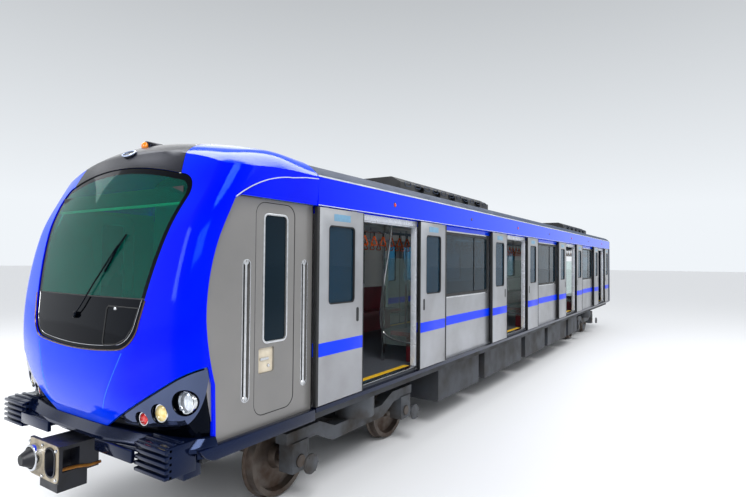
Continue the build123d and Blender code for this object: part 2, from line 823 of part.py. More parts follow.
# Equipment cases under the floor. Columns: start, end behind the saloon front
cases = [(3300, 5000), (5300, 7600), (7900, 9600), (9900, 12000), (12300, 13500)]
case_bottom = 380
with BuildPart() as equipment:
    for start, end in cases:
        block((along(start), along(end)), (-1220, -380), (case_bottom, frame_bottom))
        block((along(start), along(end)), (380, 1220), (case_bottom + 60, frame_bottom))
keep(equipment, "equipment")

# Bogies
axle_height = wheel_diameter / 2
beam_inner = 920
beam_outer = 1080
transom_half = 350
with BuildPart() as bogie_front:
    centre = bogie_centres[0]
    for side in (1, -1):
        with BuildSketch(sideways(side * beam_inner)):
            Polygon(*[(centre + x, up(z)) for x, z in [
                (-1350, 640), (-1350, 760), (-800, 760), (-520, 640), (520, 640), (800, 760),
                (1350, 760), (1350, 640), (850, 620), (560, 480), (-560, 480), (-850, 620)]],
                    align=None)
        extrude(amount=-side * (beam_outer - beam_inner))
        with Locations((centre, side * (beam_inner + beam_outer) / 2, up((640 + frame_bottom - running_gap) / 2))):
            Cylinder(250, frame_bottom - running_gap - 640)
    block((centre - transom_half, centre + transom_half), (-beam_inner, beam_inner), (480, 640))
    for end in (1, -1):
        axle = centre + end * wheelbase / 2
        both_sides((axle - 130, axle + 130), (beam_inner - 10, beam_outer + 20), (axle_height - 110, 640))
        block((centre + end * (transom_half - 10), axle - end * (axle_radius + 40)), (-480, 480),
              (axle_height - 150, 600))
        with Locations((axle, 0, up(axle_height))):
            Cylinder(journal_radius + running_gap, 2 * journal_half, rotation=(90, 0, 0), mode=Mode.SUBTRACT)
    with Locations((centre, 0, up(600))):
        Cylinder(pivot_radius + running_gap, 400, mode=Mode.SUBTRACT)
keep(bogie_front, "bogie_front")

with BuildPart() as bogie_rear:
    with Locations((bogie_spacing, 0, 0)):
        add(bogie_front.part)
keep(bogie_rear, "bogie_rear")

# Wheelset profile out from the middle of the axle. Columns: half width, radius
tread = wheel_diameter / 2
wheel_face = back_to_back / 2
wheel_profile = [
    (0, 0), (0, axle_radius), (wheel_face - 20, axle_radius), (wheel_face - 20, 120),
    (wheel_face + 30, 150), (wheel_face + 20, tread - 80), (wheel_face, tread - 60),
    (wheel_face, tread + 18), (wheel_face + 8, tread + flange_depth), (wheel_face + 22, tread + flange_depth),
    (wheel_face + 38, tread + 4), (wheel_face + tyre_width, tread - 3), (wheel_face + tyre_width, tread - 60),
    (wheel_face + 70, tread - 80), (wheel_face + 80, 150), (wheel_face + 150, 120),
    (wheel_face + 150, journal_radius), (journal_half, journal_radius), (journal_half, 0),
]
wheel_places = [c + end * wheelbase / 2 for c in bogie_centres for end in (-1, 1)]
for number, x in enumerate(wheel_places, 1):
    with BuildPart() as wheelset:
        with BuildSketch(Plane(origin=(x, 0, up(axle_height)), x_dir=(0, 1, 0), z_dir=(1, 0, 0))):
            Polygon(*wheel_profile, align=None)
            mirror(about=Plane.YZ)
        revolve(axis=Axis((x, 0, up(axle_height)), (0, 1, 0)))
    keep(wheelset, f"wheelset_{number}")

# Windscreen wiper at rest low on the glass
with BuildPart() as wiper:
    block((along(-1640), along(-1500)), (-425, -385), (2120, 2180))
    block((along(-1640), along(-1615)), (-425, -385), (2180, 2290))
    block((along(-1640), along(-1500)), (-425, 380), (2290, 2315))
    add(glass_outer, mode=Mode.SUBTRACT)
keep(wiper, "wiper")

# Saloon doors. On the right they stand open, and on the left they are shut
leaf_low = sill_rail_top + leaf_clearance
leaf_high = header_bottom - leaf_clearance
hanger_top = 3330
for name, side in SIDES:
    for number, middle in enumerate(door_centres, 1):
        for hand, way in (("fore", -1), ("aft", 1)):
            shut = middle + way * (leaf_width / 2 + 3)
            x = shut if side == 1 else shut + way * leaf_travel
            with BuildPart() as leaf:
                low, high = wall_face + leaf_gap, leaf_face
                block((x - leaf_width / 2, x + leaf_width / 2), (side * low, side * high), (leaf_low, leaf_high))
                with BuildSketch(sideways(side * (low - 1))):
                    with Locations((x, up(leaf_window_centre))):
                        RectangleRounded(*leaf_window, leaf_window_corner)
                extrude(amount=-side * (leaf_thickness + 2), mode=Mode.SUBTRACT)
                with BuildSketch(sideways(side * (low + 12))):
                    with Locations((x, up(leaf_window_centre))):
                        RectangleRounded(leaf_window[0] - 2, leaf_window[1] - 2, leaf_window_corner - 1)
                extrude(amount=-side * pane)
                for reach in (-260, 260):
                    block((x + reach - 50, x + reach + 50), (side * (low + 4), side * (low + 14)),
                          (leaf_high, hanger_top))
            keep(leaf, f"leaf_{name}_{number}_{hand}")
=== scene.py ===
"""Lead metro car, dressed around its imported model. Lengths are in metres."""

import json
import math

import bmesh
import bpy
from mathutils import Matrix, Vector


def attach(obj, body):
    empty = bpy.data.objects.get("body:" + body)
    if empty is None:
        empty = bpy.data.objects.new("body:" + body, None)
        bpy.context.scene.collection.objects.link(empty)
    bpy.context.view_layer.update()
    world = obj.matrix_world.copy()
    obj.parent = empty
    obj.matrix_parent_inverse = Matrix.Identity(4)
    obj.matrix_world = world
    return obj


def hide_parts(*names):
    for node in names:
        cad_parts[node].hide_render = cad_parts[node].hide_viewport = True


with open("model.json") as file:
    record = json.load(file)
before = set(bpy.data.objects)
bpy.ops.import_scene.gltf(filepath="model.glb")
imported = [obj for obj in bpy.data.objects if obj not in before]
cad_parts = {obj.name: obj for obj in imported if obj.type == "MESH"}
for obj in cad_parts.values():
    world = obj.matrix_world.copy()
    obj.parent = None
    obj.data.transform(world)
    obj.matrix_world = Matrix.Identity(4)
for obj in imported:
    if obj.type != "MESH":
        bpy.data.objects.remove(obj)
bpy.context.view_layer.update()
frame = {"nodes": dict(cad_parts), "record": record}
nodes = frame["nodes"]


# Camera: the eye stands on the platform, a little above the car's floor
CAMERA_EYE = (-12.581, -4.786, 2.609)
CAMERA_YAW = 33.03
CAMERA_PITCH = 1.42
CAMERA_ROLL = 0.48
FOCAL_PIXELS = 515.0
PICTURE_WIDTH = 746
SENSOR = 36.0


def make_camera():
    """Camera at the photograph's place and angle."""
    data = bpy.data.cameras.new("camera")
    camera = bpy.data.objects.new("camera", data)
    bpy.context.scene.collection.objects.link(camera)
    data.sensor_width = SENSOR
    data.lens = FOCAL_PIXELS * SENSOR / PICTURE_WIDTH
    data.clip_end = 200
    yaw, pitch, roll = map(math.radians, (CAMERA_YAW, CAMERA_PITCH, CAMERA_ROLL))
    ahead = Vector((math.cos(yaw) * math.cos(pitch), math.sin(yaw) * math.cos(pitch), math.sin(pitch)))
    right = Vector((math.sin(yaw), -math.cos(yaw), 0))
    above = right.cross(ahead)
    right_rolled = right * math.cos(roll) + above * math.sin(roll)
    above_rolled = above * math.cos(roll) - right * math.sin(roll)
    turn = Matrix((right_rolled, above_rolled, -ahead)).transposed()
    camera.matrix_world = Matrix.Translation(CAMERA_EYE) @ turn.to_4x4()
    bpy.context.scene.camera = camera


make_camera()


# Shader building
def feed(tree, source, socket):
    """Give an input a value, or link another socket to it."""
    if isinstance(source, bpy.types.NodeSocket):
        tree.links.new(source, socket)
    else:
        socket.default_value = source


def add_node(tree, kind, inputs=None, **settings):
    """Shader node with its settings, and with each named input fed from a value or a socket."""
    node = tree.nodes.new("ShaderNode" + kind)
    for label, value in settings.items():
        setattr(node, label, value)
    for label, source in (inputs or {}).items():
        feed(tree, source, node.inputs[label])
    return node


def new_group(name, inputs, outputs):
    """Shader group with named inputs at their first values; the sockets inside its two ends."""
    group = bpy.data.node_groups.new(name, "ShaderNodeTree")
    for label, value in inputs.items():
        socket = group.interface.new_socket(label, in_out="INPUT", socket_type="NodeSocketFloat")
        socket.default_value = value
    for label in outputs:
        kind = "NodeSocketVector" if label == "Normal" else "NodeSocketFloat"
        group.interface.new_socket(label, in_out="OUTPUT", socket_type=kind)
    return group, group.nodes.new("NodeGroupInput").outputs, group.nodes.new("NodeGroupOutput").inputs


def band_mask_group():
    """Mask that is 1 between two heights above the origin, with soft edges."""
    group, start, end = new_group("height_band", {"Low": 0.0, "High": 1.0, "Soft": 0.004}, ["Mask"])
    place = add_node(group, "TexCoord").outputs["Object"]
    level = add_node(group, "SeparateXYZ", {0: place}).outputs["Z"]
    edges = []
    for first, second in ((level, start["Low"]), (start["High"], level)):
        away = add_node(group, "Math", {0: first, 1: second}, operation="SUBTRACT")
        share = add_node(group, "Math", {0: away.outputs[0], 1: start["Soft"]}, operation="DIVIDE", use_clamp=True)
        edges.append(share.outputs[0])
    both = add_node(group, "Math", {0: edges[0], 1: edges[1]}, operation="MULTIPLY")
    feed(group, both.outputs[0], end["Mask"])
    return group


def grain_group():
    """Noise drawn out along one axis, as brushed metal is, with fine bump."""
    group, start, end = new_group("drawn_grain", {"Fine": 300.0, "Stretch": 0.02, "Depth": 0.02},
                                  ["Value", "Normal"])
    place = add_node(group, "TexCoord").outputs["Object"]
    scale = add_node(group, "CombineXYZ", {"X": start["Stretch"], "Y": 1.0, "Z": 1.0})
    stretch = add_node(group, "VectorMath", {0: place, 1: scale.outputs[0]}, operation="MULTIPLY")
    noise = add_node(group, "TexNoise", {"Vector": stretch.outputs[0], "Scale": start["Fine"], "Detail": 3.0})
    noise = noise.outputs["Fac"]
    bump = add_node(group, "Bump", {"Distance": 0.002, "Strength": start["Depth"], "Height": noise})
    feed(group, noise, end["Value"])
    feed(group, bump.outputs["Normal"], end["Normal"])
    return group


def cloud_group():
    """Slow blotches and fine specks, for dust, tone and worn places."""
    group, start, end = new_group("clouding", {"Scale": 3.0, "Low": 0.4, "High": 0.7, "Bump": 0.0},
                                  ["Mask", "Normal"])
    place = add_node(group, "TexCoord").outputs["Object"]
    noise = add_node(group, "TexNoise", {"Vector": place, "Scale": start["Scale"], "Detail": 5.0})
    noise = noise.outputs["Fac"]
    share = add_node(group, "MapRange", {"Value": noise, "From Min": start["Low"], "From Max": start["High"]})
    bump = add_node(group, "Bump", {"Distance": 0.003, "Strength": start["Bump"], "Height": noise})
    feed(group, share.outputs["Result"], end["Mask"])
    feed(group, bump.outputs["Normal"], end["Normal"])
    return group


BAND = band_mask_group()
GRAIN = grain_group()
CLOUD = cloud_group()


def rgb(code):
    """Linear colour of a web colour code."""
    values = [int(code[i:i + 2], 16) / 255 for i in (1, 3, 5)]
    return tuple(v / 12.92 if v <= 0.04045 else ((v + 0.055) / 1.055) ** 2.4 for v in values) + (1.0,)


def new_material(name, colour, roughness, metallic=0.0, coat=0.0):
    """Material with one Principled shader: the material, its node tree and the shader's inputs."""
    material = bpy.data.materials.new(name)
    material.use_nodes = True
    material.diffuse_color = rgb(colour)
    shader = material.node_tree.nodes["Principled BSDF"].inputs
    for label, value in (("Base Color", rgb(colour)), ("Roughness", roughness), ("Metallic", metallic),
                         ("Coat Weight", coat), ("Coat Roughness", 0.04)):
        shader[label].default_value = value
    return material, material.node_tree, shader


def place_group(tree, group, **values):
    """Output sockets of a group placed in a material, with its values set by name."""
    return add_node(tree, "Group", values, node_tree=group).outputs


def mix_colours(tree, mask, first, second):
    """Colour mix by a mask; each side is a colour or a socket."""
    mix = add_node(tree, "Mix", {"Factor": mask, "A": first, "B": second}, data_type="RGBA")
    return mix.outputs["Result"]


def follow_mask(tree, mask, low, high, socket):
    """Value that follows a mask between two values."""
    share = add_node(tree, "MapRange", {"Value": mask, "To Min": low, "To Max": high})
    feed(tree, share.outputs["Result"], socket)


def clouded(name, colour, second, scale=3.0, rough=(0.4, 0.55), metallic=0.0, coat=0.0, bump=0.0,
            low=0.4, high=0.7):
    """Painted or moulded surface with blotches of a second tone."""
    material, tree, shader = new_material(name, colour, rough[0], metallic, coat)
    cloud = place_group(tree, CLOUD, Scale=scale, Low=low, High=high, Bump=bump)
    feed(tree, mix_colours(tree, cloud["Mask"], rgb(colour), rgb(second)), shader["Base Color"])
    follow_mask(tree, cloud["Mask"], *rough, shader["Roughness"])
    if bump:
        feed(tree, cloud["Normal"], shader["Normal"])
    return material


STRIPE_LOW = 1.621
STRIPE_HIGH = 1.762
SHEET_METAL = 0.85


def stainless_material():
    """Brushed stainless sheet with the light blue stripe along it."""
    material, tree, shader = new_material("stainless_sheet", "#A4A6AA", 0.3, SHEET_METAL)
    shader["Specular IOR Level"].default_value = 0.15
    grain = place_group(tree, GRAIN, Fine=220.0, Stretch=0.015, Depth=0.05)
    cloud = place_group(tree, CLOUD, Scale=1.6, Low=0.35, High=0.75)
    band = place_group(tree, BAND, Low=STRIPE_LOW, High=STRIPE_HIGH, Soft=0.002)["Mask"]
    tone = mix_colours(tree, cloud["Mask"], rgb("#AEB0B4"), rgb("#979799"))
    feed(tree, mix_colours(tree, band, tone, rgb("#0038F0")), shader["Base Color"])
    follow_mask(tree, band, SHEET_METAL, 0.0, shader["Metallic"])
    follow_mask(tree, grain["Value"], 0.22, 0.42, shader["Roughness"])
    feed(tree, grain["Normal"], shader["Normal"])
    return material


def paint_material(name, colour, second, rough, specular, tint, edge=None):
    """Gloss enamel with a slight change of tone and tinted reflections; where an edge colour is given, a painted
    reflection turns the base colour to it at grazing angles.
    """
    material, tree, shader = new_material(name, colour, rough)
    cloud = place_group(tree, CLOUD, Scale=0.9, Low=0.35, High=0.7)["Mask"]
    tone = mix_colours(tree, cloud, rgb(colour), rgb(second))
    # Painted reflection: the base colour turns to the edge colour where the surface is seen at a grazing angle,
    # standing in for the azure light that the paint reflects there.
    if edge:
        painted_reflection_facing = add_node(tree, "LayerWeight", {"Blend": 0.5}).outputs["Facing"]
        share = add_node(tree, "MapRange", {"Value": painted_reflection_facing, "From Min": 0.35, "From Max": 0.95})
        tone = mix_colours(tree, share.outputs["Result"], tone, rgb(edge))
    feed(tree, tone, shader["Base Color"])
    follow_mask(tree, cloud, rough, rough + 0.05, shader["Roughness"])
    shader["Specular IOR Level"].default_value = specular
    shader["Specular Tint"].default_value = rgb(tint)
    return material


def glass_material(name, colour, roughness, transmission):
    """Tinted glass."""
    material, tree, shader = new_material(name, colour, roughness)
    for label, value in (("Transmission Weight", transmission), ("IOR", 1.25), ("Specular IOR Level", 0.2)):
        feed(tree, value, shader[label])
    return material


MATERIALS = {
    # The blue paint's edge colour #0058FF is a painted reflection at grazing angles.
    "electric_blue": paint_material("blue_paint", "#0008DC", "#0014F4", 0.06, 0.3, "#3A8CFF", "#0058FF"),
    "stainless": stainless_material(),
    "cab_grey": clouded("cab_grey_paint", "#83817F", "#777675", 0.8, (0.3, 0.4), 0.3, coat=0.1),
    "roof_grey": clouded("roof_paint", "#303F58", "#283449", 1.5, (0.5, 0.7)),
    "cap_grey": paint_material("cap_paint", "#0E0E12", "#15151B", 0.22, 0.22, "#8FA6E0"),
    "unit_grey": clouded("unit_paint", "#191A1D", "#121315", 3.0, (0.45, 0.6)),
    "navy_black": paint_material("navy_enamel", "#040818", "#07102A", 0.10, 0.5, "#8FA6E0"),
    "gloss_black": paint_material("black_gloss", "#010204", "#030408", 0.04, 0.15, "#8FA0C8"),
    "screen_glass": glass_material("windscreen_glass", "#08BCA8", 0.01, 0.95),
    "tinted_glass": glass_material("window_glass", "#3E6276", 0.01, 0.9),
    "screen_clear": glass_material("draught_glass", "#DCEBE8", 0.02, 0.95),
    "window_rubber": clouded("seal_rubber", "#0C0D0F", "#17181A", 8.0, (0.5, 0.7), bump=0.1),
    "bellows_rubber": clouded("fold_rubber", "#202226", "#2D3035", 6.0, (0.6, 0.8), bump=0.2),
    "mirror_silver": clouded("lens_silver", "#4A5470", "#5E6886", 1.0, (0.04, 0.08), 0.9),
    "chrome": clouded("bright_chrome", "#D8DADD", "#C6C8CC", 4.0, (0.05, 0.12), 1.0),
    "coupler_black": clouded("coupler_iron", "#070B18", "#0F0F14", 6.0, (0.35, 0.55), 0.1, bump=0.2),
    "underframe_grey": clouded("underframe_paint", "#34383F", "#2A2724", 2.0, (0.6, 0.8), bump=0.1),
    "bogie_grey": clouded("bogie_paint", "#464A50", "#2F2A26", 4.0, (0.55, 0.8), bump=0.2),
    "wheel_steel": clouded("wheel_iron", "#5E5650", "#4A3A30", 6.0, (0.4, 0.65), 0.7, bump=0.2),
    "floor_vinyl": clouded("floor_sheet", "#3F4248", "#4A4D54", 30.0, (0.5, 0.6)),
    "interior_white": clouded("lining_panel", "#DEDEDA", "#D4D4CF", 1.0, (0.4, 0.5)),
    "maroon_plastic": clouded("seat_shell", "#6B1320", "#5A101B", 3.0, (0.3, 0.4), coat=0.3),
    "polished_steel": clouded("rail_steel", "#D2D4D6", "#BFC1C4", 20.0, (0.15, 0.25), 1.0),
    "orange_plastic": clouded("strap_orange", "#F0640A", "#E05806", 9.0, (0.3, 0.4), coat=0.3),
    "desk_grey": clouded("desk_shell", "#59605F", "#4C5352", 5.0, (0.5, 0.6), bump=0.1),
    "seat_fabric": clouded("seat_cloth", "#2A2D34", "#33363E", 60.0, (0.8, 0.95), bump=0.3),
    "lamp_red": clouded("red_lamp", "#E0100C", "#B80A08", 40.0, (0.05, 0.1), coat=1.0),
    "lamp_amber": clouded("warm_lamp", "#F7E3A0", "#EAC768", 30.0, (0.05, 0.1), coat=1.0),
    "lamp_clear": clouded("clear_lamp", "#DDE3EA", "#A7B0BC", 25.0, (0.05, 0.1), 0.6, coat=1.0),
    "lamp_brown": clouded("brown_lamp", "#6A3A22", "#54301E", 30.0, (0.1, 0.2), coat=1.0),
    "lens_bright": clouded("pale_rim", "#B9C6E0", "#98A6C6", 8.0, (0.1, 0.2), 0.8),
    "bronze_trim": clouded("bronze_rim", "#5A3A2C", "#3D2A22", 6.0, (0.2, 0.35), 0.7, coat=0.5),
    "coupler_face": clouded("face_enamel", "#A2967F", "#6F6555", 9.0, (0.35, 0.6), bump=0.1, low=0.5, high=0.75),
    "brass": clouded("brass_pipe", "#B07A35", "#7D4A22", 12.0, (0.3, 0.5), 0.8),
    "cream_enamel": clouded("lock_enamel", "#D8CDB8", "#C6BAA4", 10.0, (0.35, 0.5)),
    "dark_glass": paint_material("dark_pane", "#020A10", "#04141C", 0.03, 0.3, "#7FB0D8"),
    "blank_plate": clouded("blank_plate", "#6F9DBA", "#6590AD", 12.0, (0.3, 0.4)),
    # Light blue of the beads along the shield's folds: a painted highlight line.
    "crease_highlight_blue": paint_material("painted_crease_highlight", "#2F7BFF", "#3F8AFF", 0.08, 0.5, "#8FC0FF"),
    "bar_green": clouded("bar_green", "#8FE3B8", "#7AD0A6", 9.0, (0.3, 0.4)),
    # Darker grey at the back of the handrail pockets: painted shade in the recesses.
    "pocket_painted_shade": clouded("pocket_painted_shade", "#3C3D40", "#303134", 5.0, (0.4, 0.5)),
    "leaf_glass": glass_material("door_glass", "#2E6482", 0.01, 0.85),
    "beacon_amber": clouded("beacon_amber", "#FF8F08", "#F07A00", 30.0, (0.1, 0.15), coat=0.5),
    "pale_trim": clouded("pale_strip", "#DDE1E8", "#C2C7D0", 5.0, (0.25, 0.4), 0.3),
    "light_strip": clouded("light_cover", "#F6F4EC", "#EFECE2", 3.0, (0.4, 0.5)),
    "yellow_line": clouded("yellow_sheet", "#E8B818", "#D3A410", 12.0, (0.5, 0.6)),
}


def dress_nodes():
    """Give every node its slot's material."""
    for row in frame["record"]["subparts"]:
        piece = nodes[row["node"]]
        piece.data.materials.clear()
        piece.data.materials.append(MATERIALS[row["material_slot"]])


dress_nodes()


# Shapes
LEAF_FACE = 1.45
CAB_BACK = -8.48
RAIL_LEVEL = 0.028
SIDES = (-1, 1)
MERGE = 1e-5
CORNER_STEPS = 6
# Radius that closes a turned form at its middle
HUB = 0.001
# Odd place from which no two corners of a form are equally far, so that their order is the same each run
bpy.context.scene.cursor.location = (-5.137, -0.713, 1.371)


def along(offset):
    """Place along the car of a distance behind the cab's rear edge."""
    return CAB_BACK + offset


def up(height):
    """Level of a height above the rail."""
    return RAIL_LEVEL + height


def choose(piece):
    """Select one piece alone and make it active."""
    bpy.ops.object.select_all(action="DESELECT")
    piece.select_set(True)
    bpy.context.view_layer.objects.active = piece


def apply_modifier(piece, modifier):
    """Apply a modifier of a piece."""
    choose(piece)
    bpy.ops.object.modifier_apply(modifier=modifier.name)


def round_edges(piece, width):
    """Round the sharp edges of a piece."""
    bevel = piece.modifiers.new("round_edges", "BEVEL")
    bevel.width = width
    bevel.segments = 2
    bevel.limit_method = "ANGLE"
    bevel.angle_limit = math.radians(35)
    apply_modifier(piece, bevel)


def finish(piece, material, body="root", smooth=35, replaced=()):
    """Material, shading, body and replaced nodes of a finished piece."""
    piece.data.materials.clear()
    piece.data.materials.append(MATERIALS[material])
    choose(piece)
    bpy.ops.object.shade_smooth_by_angle(angle=math.radians(smooth))
    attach(piece, body)
    if replaced:
        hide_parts(*replaced)


def lay_face(piece, points):
    """Put the corners of the chosen face on points."""
    form = bmesh.from_edit_mesh(piece.data)
    face = next(face for face in form.faces if face.select)
    for corner, point in zip(face.verts, points):
        corner.co = point
    face.normal_update()
    bmesh.update_edit_mesh(piece.data)


def flat_face(name, points):
    """Single face through points, left in edit mode to be drawn out."""
    bpy.ops.object.select_all(action="DESELECT")
    bpy.ops.mesh.primitive_circle_add(vertices=len(points), fill_type="NGON", location=(0, 0, 0))
    piece = bpy.context.object
    piece.name = name
    bpy.ops.object.mode_set(mode="EDIT")
    lay_face(piece, points)
    return piece


def draw_out(move=(0, 0, 0)):
    """Extrude what is chosen by a move."""
    bpy.ops.mesh.extrude_region_move(TRANSFORM_OT_translate={"value": move})


def close_form():
    """Merge doubled corners, turn every face outwards, put all in a set order and leave edit mode."""
    bpy.ops.mesh.select_all(action="SELECT")
    bpy.ops.mesh.remove_doubles(threshold=MERGE)
    bpy.ops.mesh.normals_make_consistent(inside=False)
    bpy.ops.mesh.sort_elements(type="CURSOR_DISTANCE", elements={"VERT", "EDGE", "FACE"})
    bpy.ops.object.mode_set(mode="OBJECT")


def loft(name, sections):
    """Closed form drawn out from section to section, all with equally many corners."""
    piece = flat_face(name, sections[0])
    for section in sections[1:]:
        draw_out()
        lay_face(piece, section)
    close_form()
    return piece


def on_axis(point, level, axis):
    """Place of a point of a flat outline that lies across an axis."""
    a, b = point
    return {"x": (level, a, b), "y": (a, level, b), "z": (a, b, level)}[axis]


def prism(name, outline, low, high, axis):
    """Prism of a flat outline between two places along an axis."""
    return loft(name, [[on_axis(point, level, axis) for point in outline] for level in (low, high)])


def block(name, x, y, z, edge=0.0):
    """Block between two places on each axis, with rounded edges."""
    spans = (x, y, z)
    bpy.ops.object.select_all(action="DESELECT")
    bpy.ops.mesh.primitive_cube_add(size=1, location=[(low + high) / 2 for low, high in spans],
                                    scale=[high - low for low, high in spans])
    piece = bpy.context.object
    piece.name = name
    bpy.ops.object.transform_apply(location=True, rotation=False, scale=True)
    if edge:
        round_edges(piece, edge)
    return piece


def lathe(name, profile, place, way, count=32, ring=False):
    """Turned form: a circle drawn out through a profile of radius and reach, laid along a way."""
    way = Vector(way).normalized()
    side = way.orthogonal().normalized()
    rows = profile + profile[:1] if ring else profile
    bpy.ops.object.select_all(action="DESELECT")
    bpy.ops.mesh.primitive_circle_add(vertices=count, radius=rows[0][0], location=(0, 0, rows[0][1]),
                                      fill_type="NOTHING" if ring else "NGON")
    piece = bpy.context.object
    piece.name = name
    bpy.ops.object.transform_apply(location=True, rotation=False, scale=False)
    bpy.ops.object.mode_set(mode="EDIT")
    for (radius, reach), (next_radius, next_reach) in zip(rows, rows[1:]):
        draw_out((0, 0, next_reach - reach))
        growth = next_radius / radius
        bpy.ops.transform.resize(value=(growth, growth, 1), center_override=(0, 0, next_reach))
    close_form()
    turn = Matrix((side.cross(way), side, way)).transposed()
    piece.matrix_world = Matrix.Translation(place) @ turn.to_4x4()
    bpy.ops.object.transform_apply(location=True, rotation=True, scale=False)
    return piece


def rounded(centre, size, corner):
    """Outline of a rectangle with round corners."""
    points = []
    for quarter, (sx, sy) in enumerate(((1, 1), (-1, 1), (-1, -1), (1, -1))):
        hub = (centre[0] + sx * (size[0] / 2 - corner), centre[1] + sy * (size[1] / 2 - corner))
        for i in range(CORNER_STEPS + 1):
            a = math.pi / 2 * (quarter + i / CORNER_STEPS)
            points.append((hub[0] + corner * math.cos(a), hub[1] + corner * math.sin(a)))
    return points


def frame_ring(name, centre, size, corner, border, low, high, axis="y"):
    """Flat ring round a rectangle with round corners."""
    outer = rounded(centre, (size[0] + 2 * border, size[1] + 2 * border), corner + border)
    piece = flat_face(name, [on_axis(point, low, axis) for point in outer])
    bpy.ops.mesh.inset(thickness=border, use_even_offset=True)
    bpy.ops.mesh.delete(type="FACE")
    bpy.ops.mesh.select_all(action="SELECT")
    draw_out(on_axis((0, 0), high - low, axis))
    close_form()
    return piece


def tube(name, points, radius, closed=False, smooth=False):
    """Round bar along points, or along the smooth line that they control."""
    curve = bpy.data.curves.new(name, "CURVE")
    curve.dimensions = "3D"
    curve.bevel_depth = radius
    curve.bevel_resolution = 3
    curve.use_fill_caps = True
    line = curve.splines.new("NURBS" if smooth else "POLY")
    line.points.add(len(points) - 1)
    for point, place in zip(line.points, points):
        point.co = (*place, 1)
    line.use_cyclic_u = closed
    if smooth:
        line.order_u = 3
        line.use_endpoint_u = True
        line.resolution_u = 6
    drawn = bpy.data.objects.new("drawn", curve)
    piece = bpy.data.objects.new(name, bpy.data.meshes.new_from_object(drawn))
    bpy.data.objects.remove(drawn)
    bpy.context.scene.collection.objects.link(piece)
    return piece


def copy_of(piece, name):
    """Copy of a piece with its own mesh."""
    twin = bpy.data.objects.new(name, piece.data.copy())
    bpy.context.scene.collection.objects.link(twin)
    return twin


def repeated(piece, moves):
    """Copies of a piece, each moved from its place, in the piece's stead."""
    copies = []
    for move in moves:
        twin = copy_of(piece, piece.name)
        twin.data.transform(Matrix.Translation(move))
        copies.append(twin)
    bpy.data.objects.remove(piece)
    return copies


def mirrored(piece):
    """Copy of a piece on the car's other side."""
    twin = copy_of(piece, piece.name)
    twin.data.transform(Matrix.Diagonal((1, -1, 1, 1)))
    twin.data.flip_normals()
    return twin


def both_sides(pieces):
    """Pieces together with their copies on the car's other side."""
    return pieces + [mirrored(piece) for piece in pieces]


def join(name, pieces):
    """Join pieces into one."""
    choose(pieces[0])
    for piece in pieces:
        piece.select_set(True)
    if len(pieces) > 1:
        bpy.ops.object.join()
    pieces[0].name = name
    return pieces[0]


def cut(piece, tool, operation="DIFFERENCE"):
    """Boolean of a piece with a tool, which is then removed."""
    modifier = piece.modifiers.new("cut", "BOOLEAN")
    modifier.operation = operation
    modifier.object = tool
    modifier.solver = "EXACT"
    apply_modifier(piece, modifier)
    bpy.data.objects.remove(tool)
    return piece


def arc(start, middle, end, count=16):
    """Points on the arc through three points, without its last one."""
    (ax, ay), (bx, by), (cx, cy) = start, middle, end
    d = 2 * (ax * (by - cy) + bx * (cy - ay) + cx * (ay - by))
    a2, b2, c2 = ax ** 2 + ay ** 2, bx ** 2 + by ** 2, cx ** 2 + cy ** 2
    ux = (a2 * (by - cy) + b2 * (cy - ay) + c2 * (ay - by)) / d
    uy = (a2 * (cx - bx) + b2 * (ax - cx) + c2 * (bx - ax)) / d
    first, mid, last = (math.atan2(y - uy, x - ux) for x, y in (start, middle, end))
    turn = (last - first) % math.tau
    if (mid - first) % math.tau > turn:
        turn -= math.tau
    radius = math.hypot(ax - ux, ay - uy)
    angles = [first + turn * i / count for i in range(count)]
    return [(ux + radius * math.cos(a), uy + radius * math.sin(a)) for a in angles]


# Cab
# Cab plan at each level. Columns: height, nose place, cheek radius, half width, corner radius,
# crease, shield radius
NOSE_ROWS = [
    (1.100, -1.572, 4.5, 1.400, 0.230, 0.395, 20.0),
    (1.290, -1.645, 4.5, 1.400, 0.230, 0.450, 20.0),
    (1.510, -1.672, 4.5, 1.400, 0.230, 0.560, 20.0),
    (2.260, -1.600, 8.0, 1.400, 0.210, 0.905, 12.0),
    (2.850, -1.490, 8.0, 1.412, 0.220, 1.030, 8.0),
    (3.220, -1.360, 5.5, 1.445, 0.250, 1.120, 5.5),
    (3.440, -1.275, 4.5, 1.450, 0.290, 1.130, 4.5),
    (3.600, -1.200, 4.0, 1.450, 0.330, 1.130, 4.0),
    (3.900, -1.080, 3.6, 1.450, 0.380, 1.100, 3.6),
]
# Cab roof at each place. Columns: place, crown, shoulder, eave
DOME_ROWS = [
    (-1.750, 3.000, 2.780, 2.650),
    (-1.450, 3.340, 3.130, 3.010),
    (-1.200, 3.610, 3.400, 3.270),
    (-0.950, 3.735, 3.560, 3.400),
    (-0.500, 3.790, 3.660, 3.445),
    (0.000, 3.785, 3.640, 3.445),
]
SHOULDER_HALF = 1.15
SHELL = 0.03
GLASS_SINK = 0.010
GLASS = 0.014
BEHIND_CAB = 0.3
CAB_FOOT = 1.1
CAB_HEIGHT = 2.8
CAB_REACH = 1.75
# Places that the cutting tools reach: ahead of the car, behind the nose and beyond the sides
AHEAD = -12
NOSE_END = -9.2
BEYOND = 2


def between(rows, value):
    """Row of a table at a value of its first column, on a smooth curve through the rows."""
    last = len(rows) - 1
    i = max(0, min(last - 1, sum(row[0] <= value for row in rows) - 1))
    a, b = rows[i], rows[i + 1]
    span = b[0] - a[0]
    t = (value - a[0]) / span
    slopes = []
    for k in (i, i + 1):
        low, high = rows[max(k - 1, 0)], rows[min(k + 1, last)]
        slopes.append([(h - l) / (high[0] - low[0]) for l, h in zip(low, high)])
    return [(2 * t ** 3 - 3 * t ** 2 + 1) * first + (t ** 3 - 2 * t ** 2 + t) * span * rise
            + (3 * t ** 2 - 2 * t ** 3) * second + (t ** 3 - t ** 2) * span * next_rise
            for first, second, rise, next_rise in zip(a, b, *slopes)]


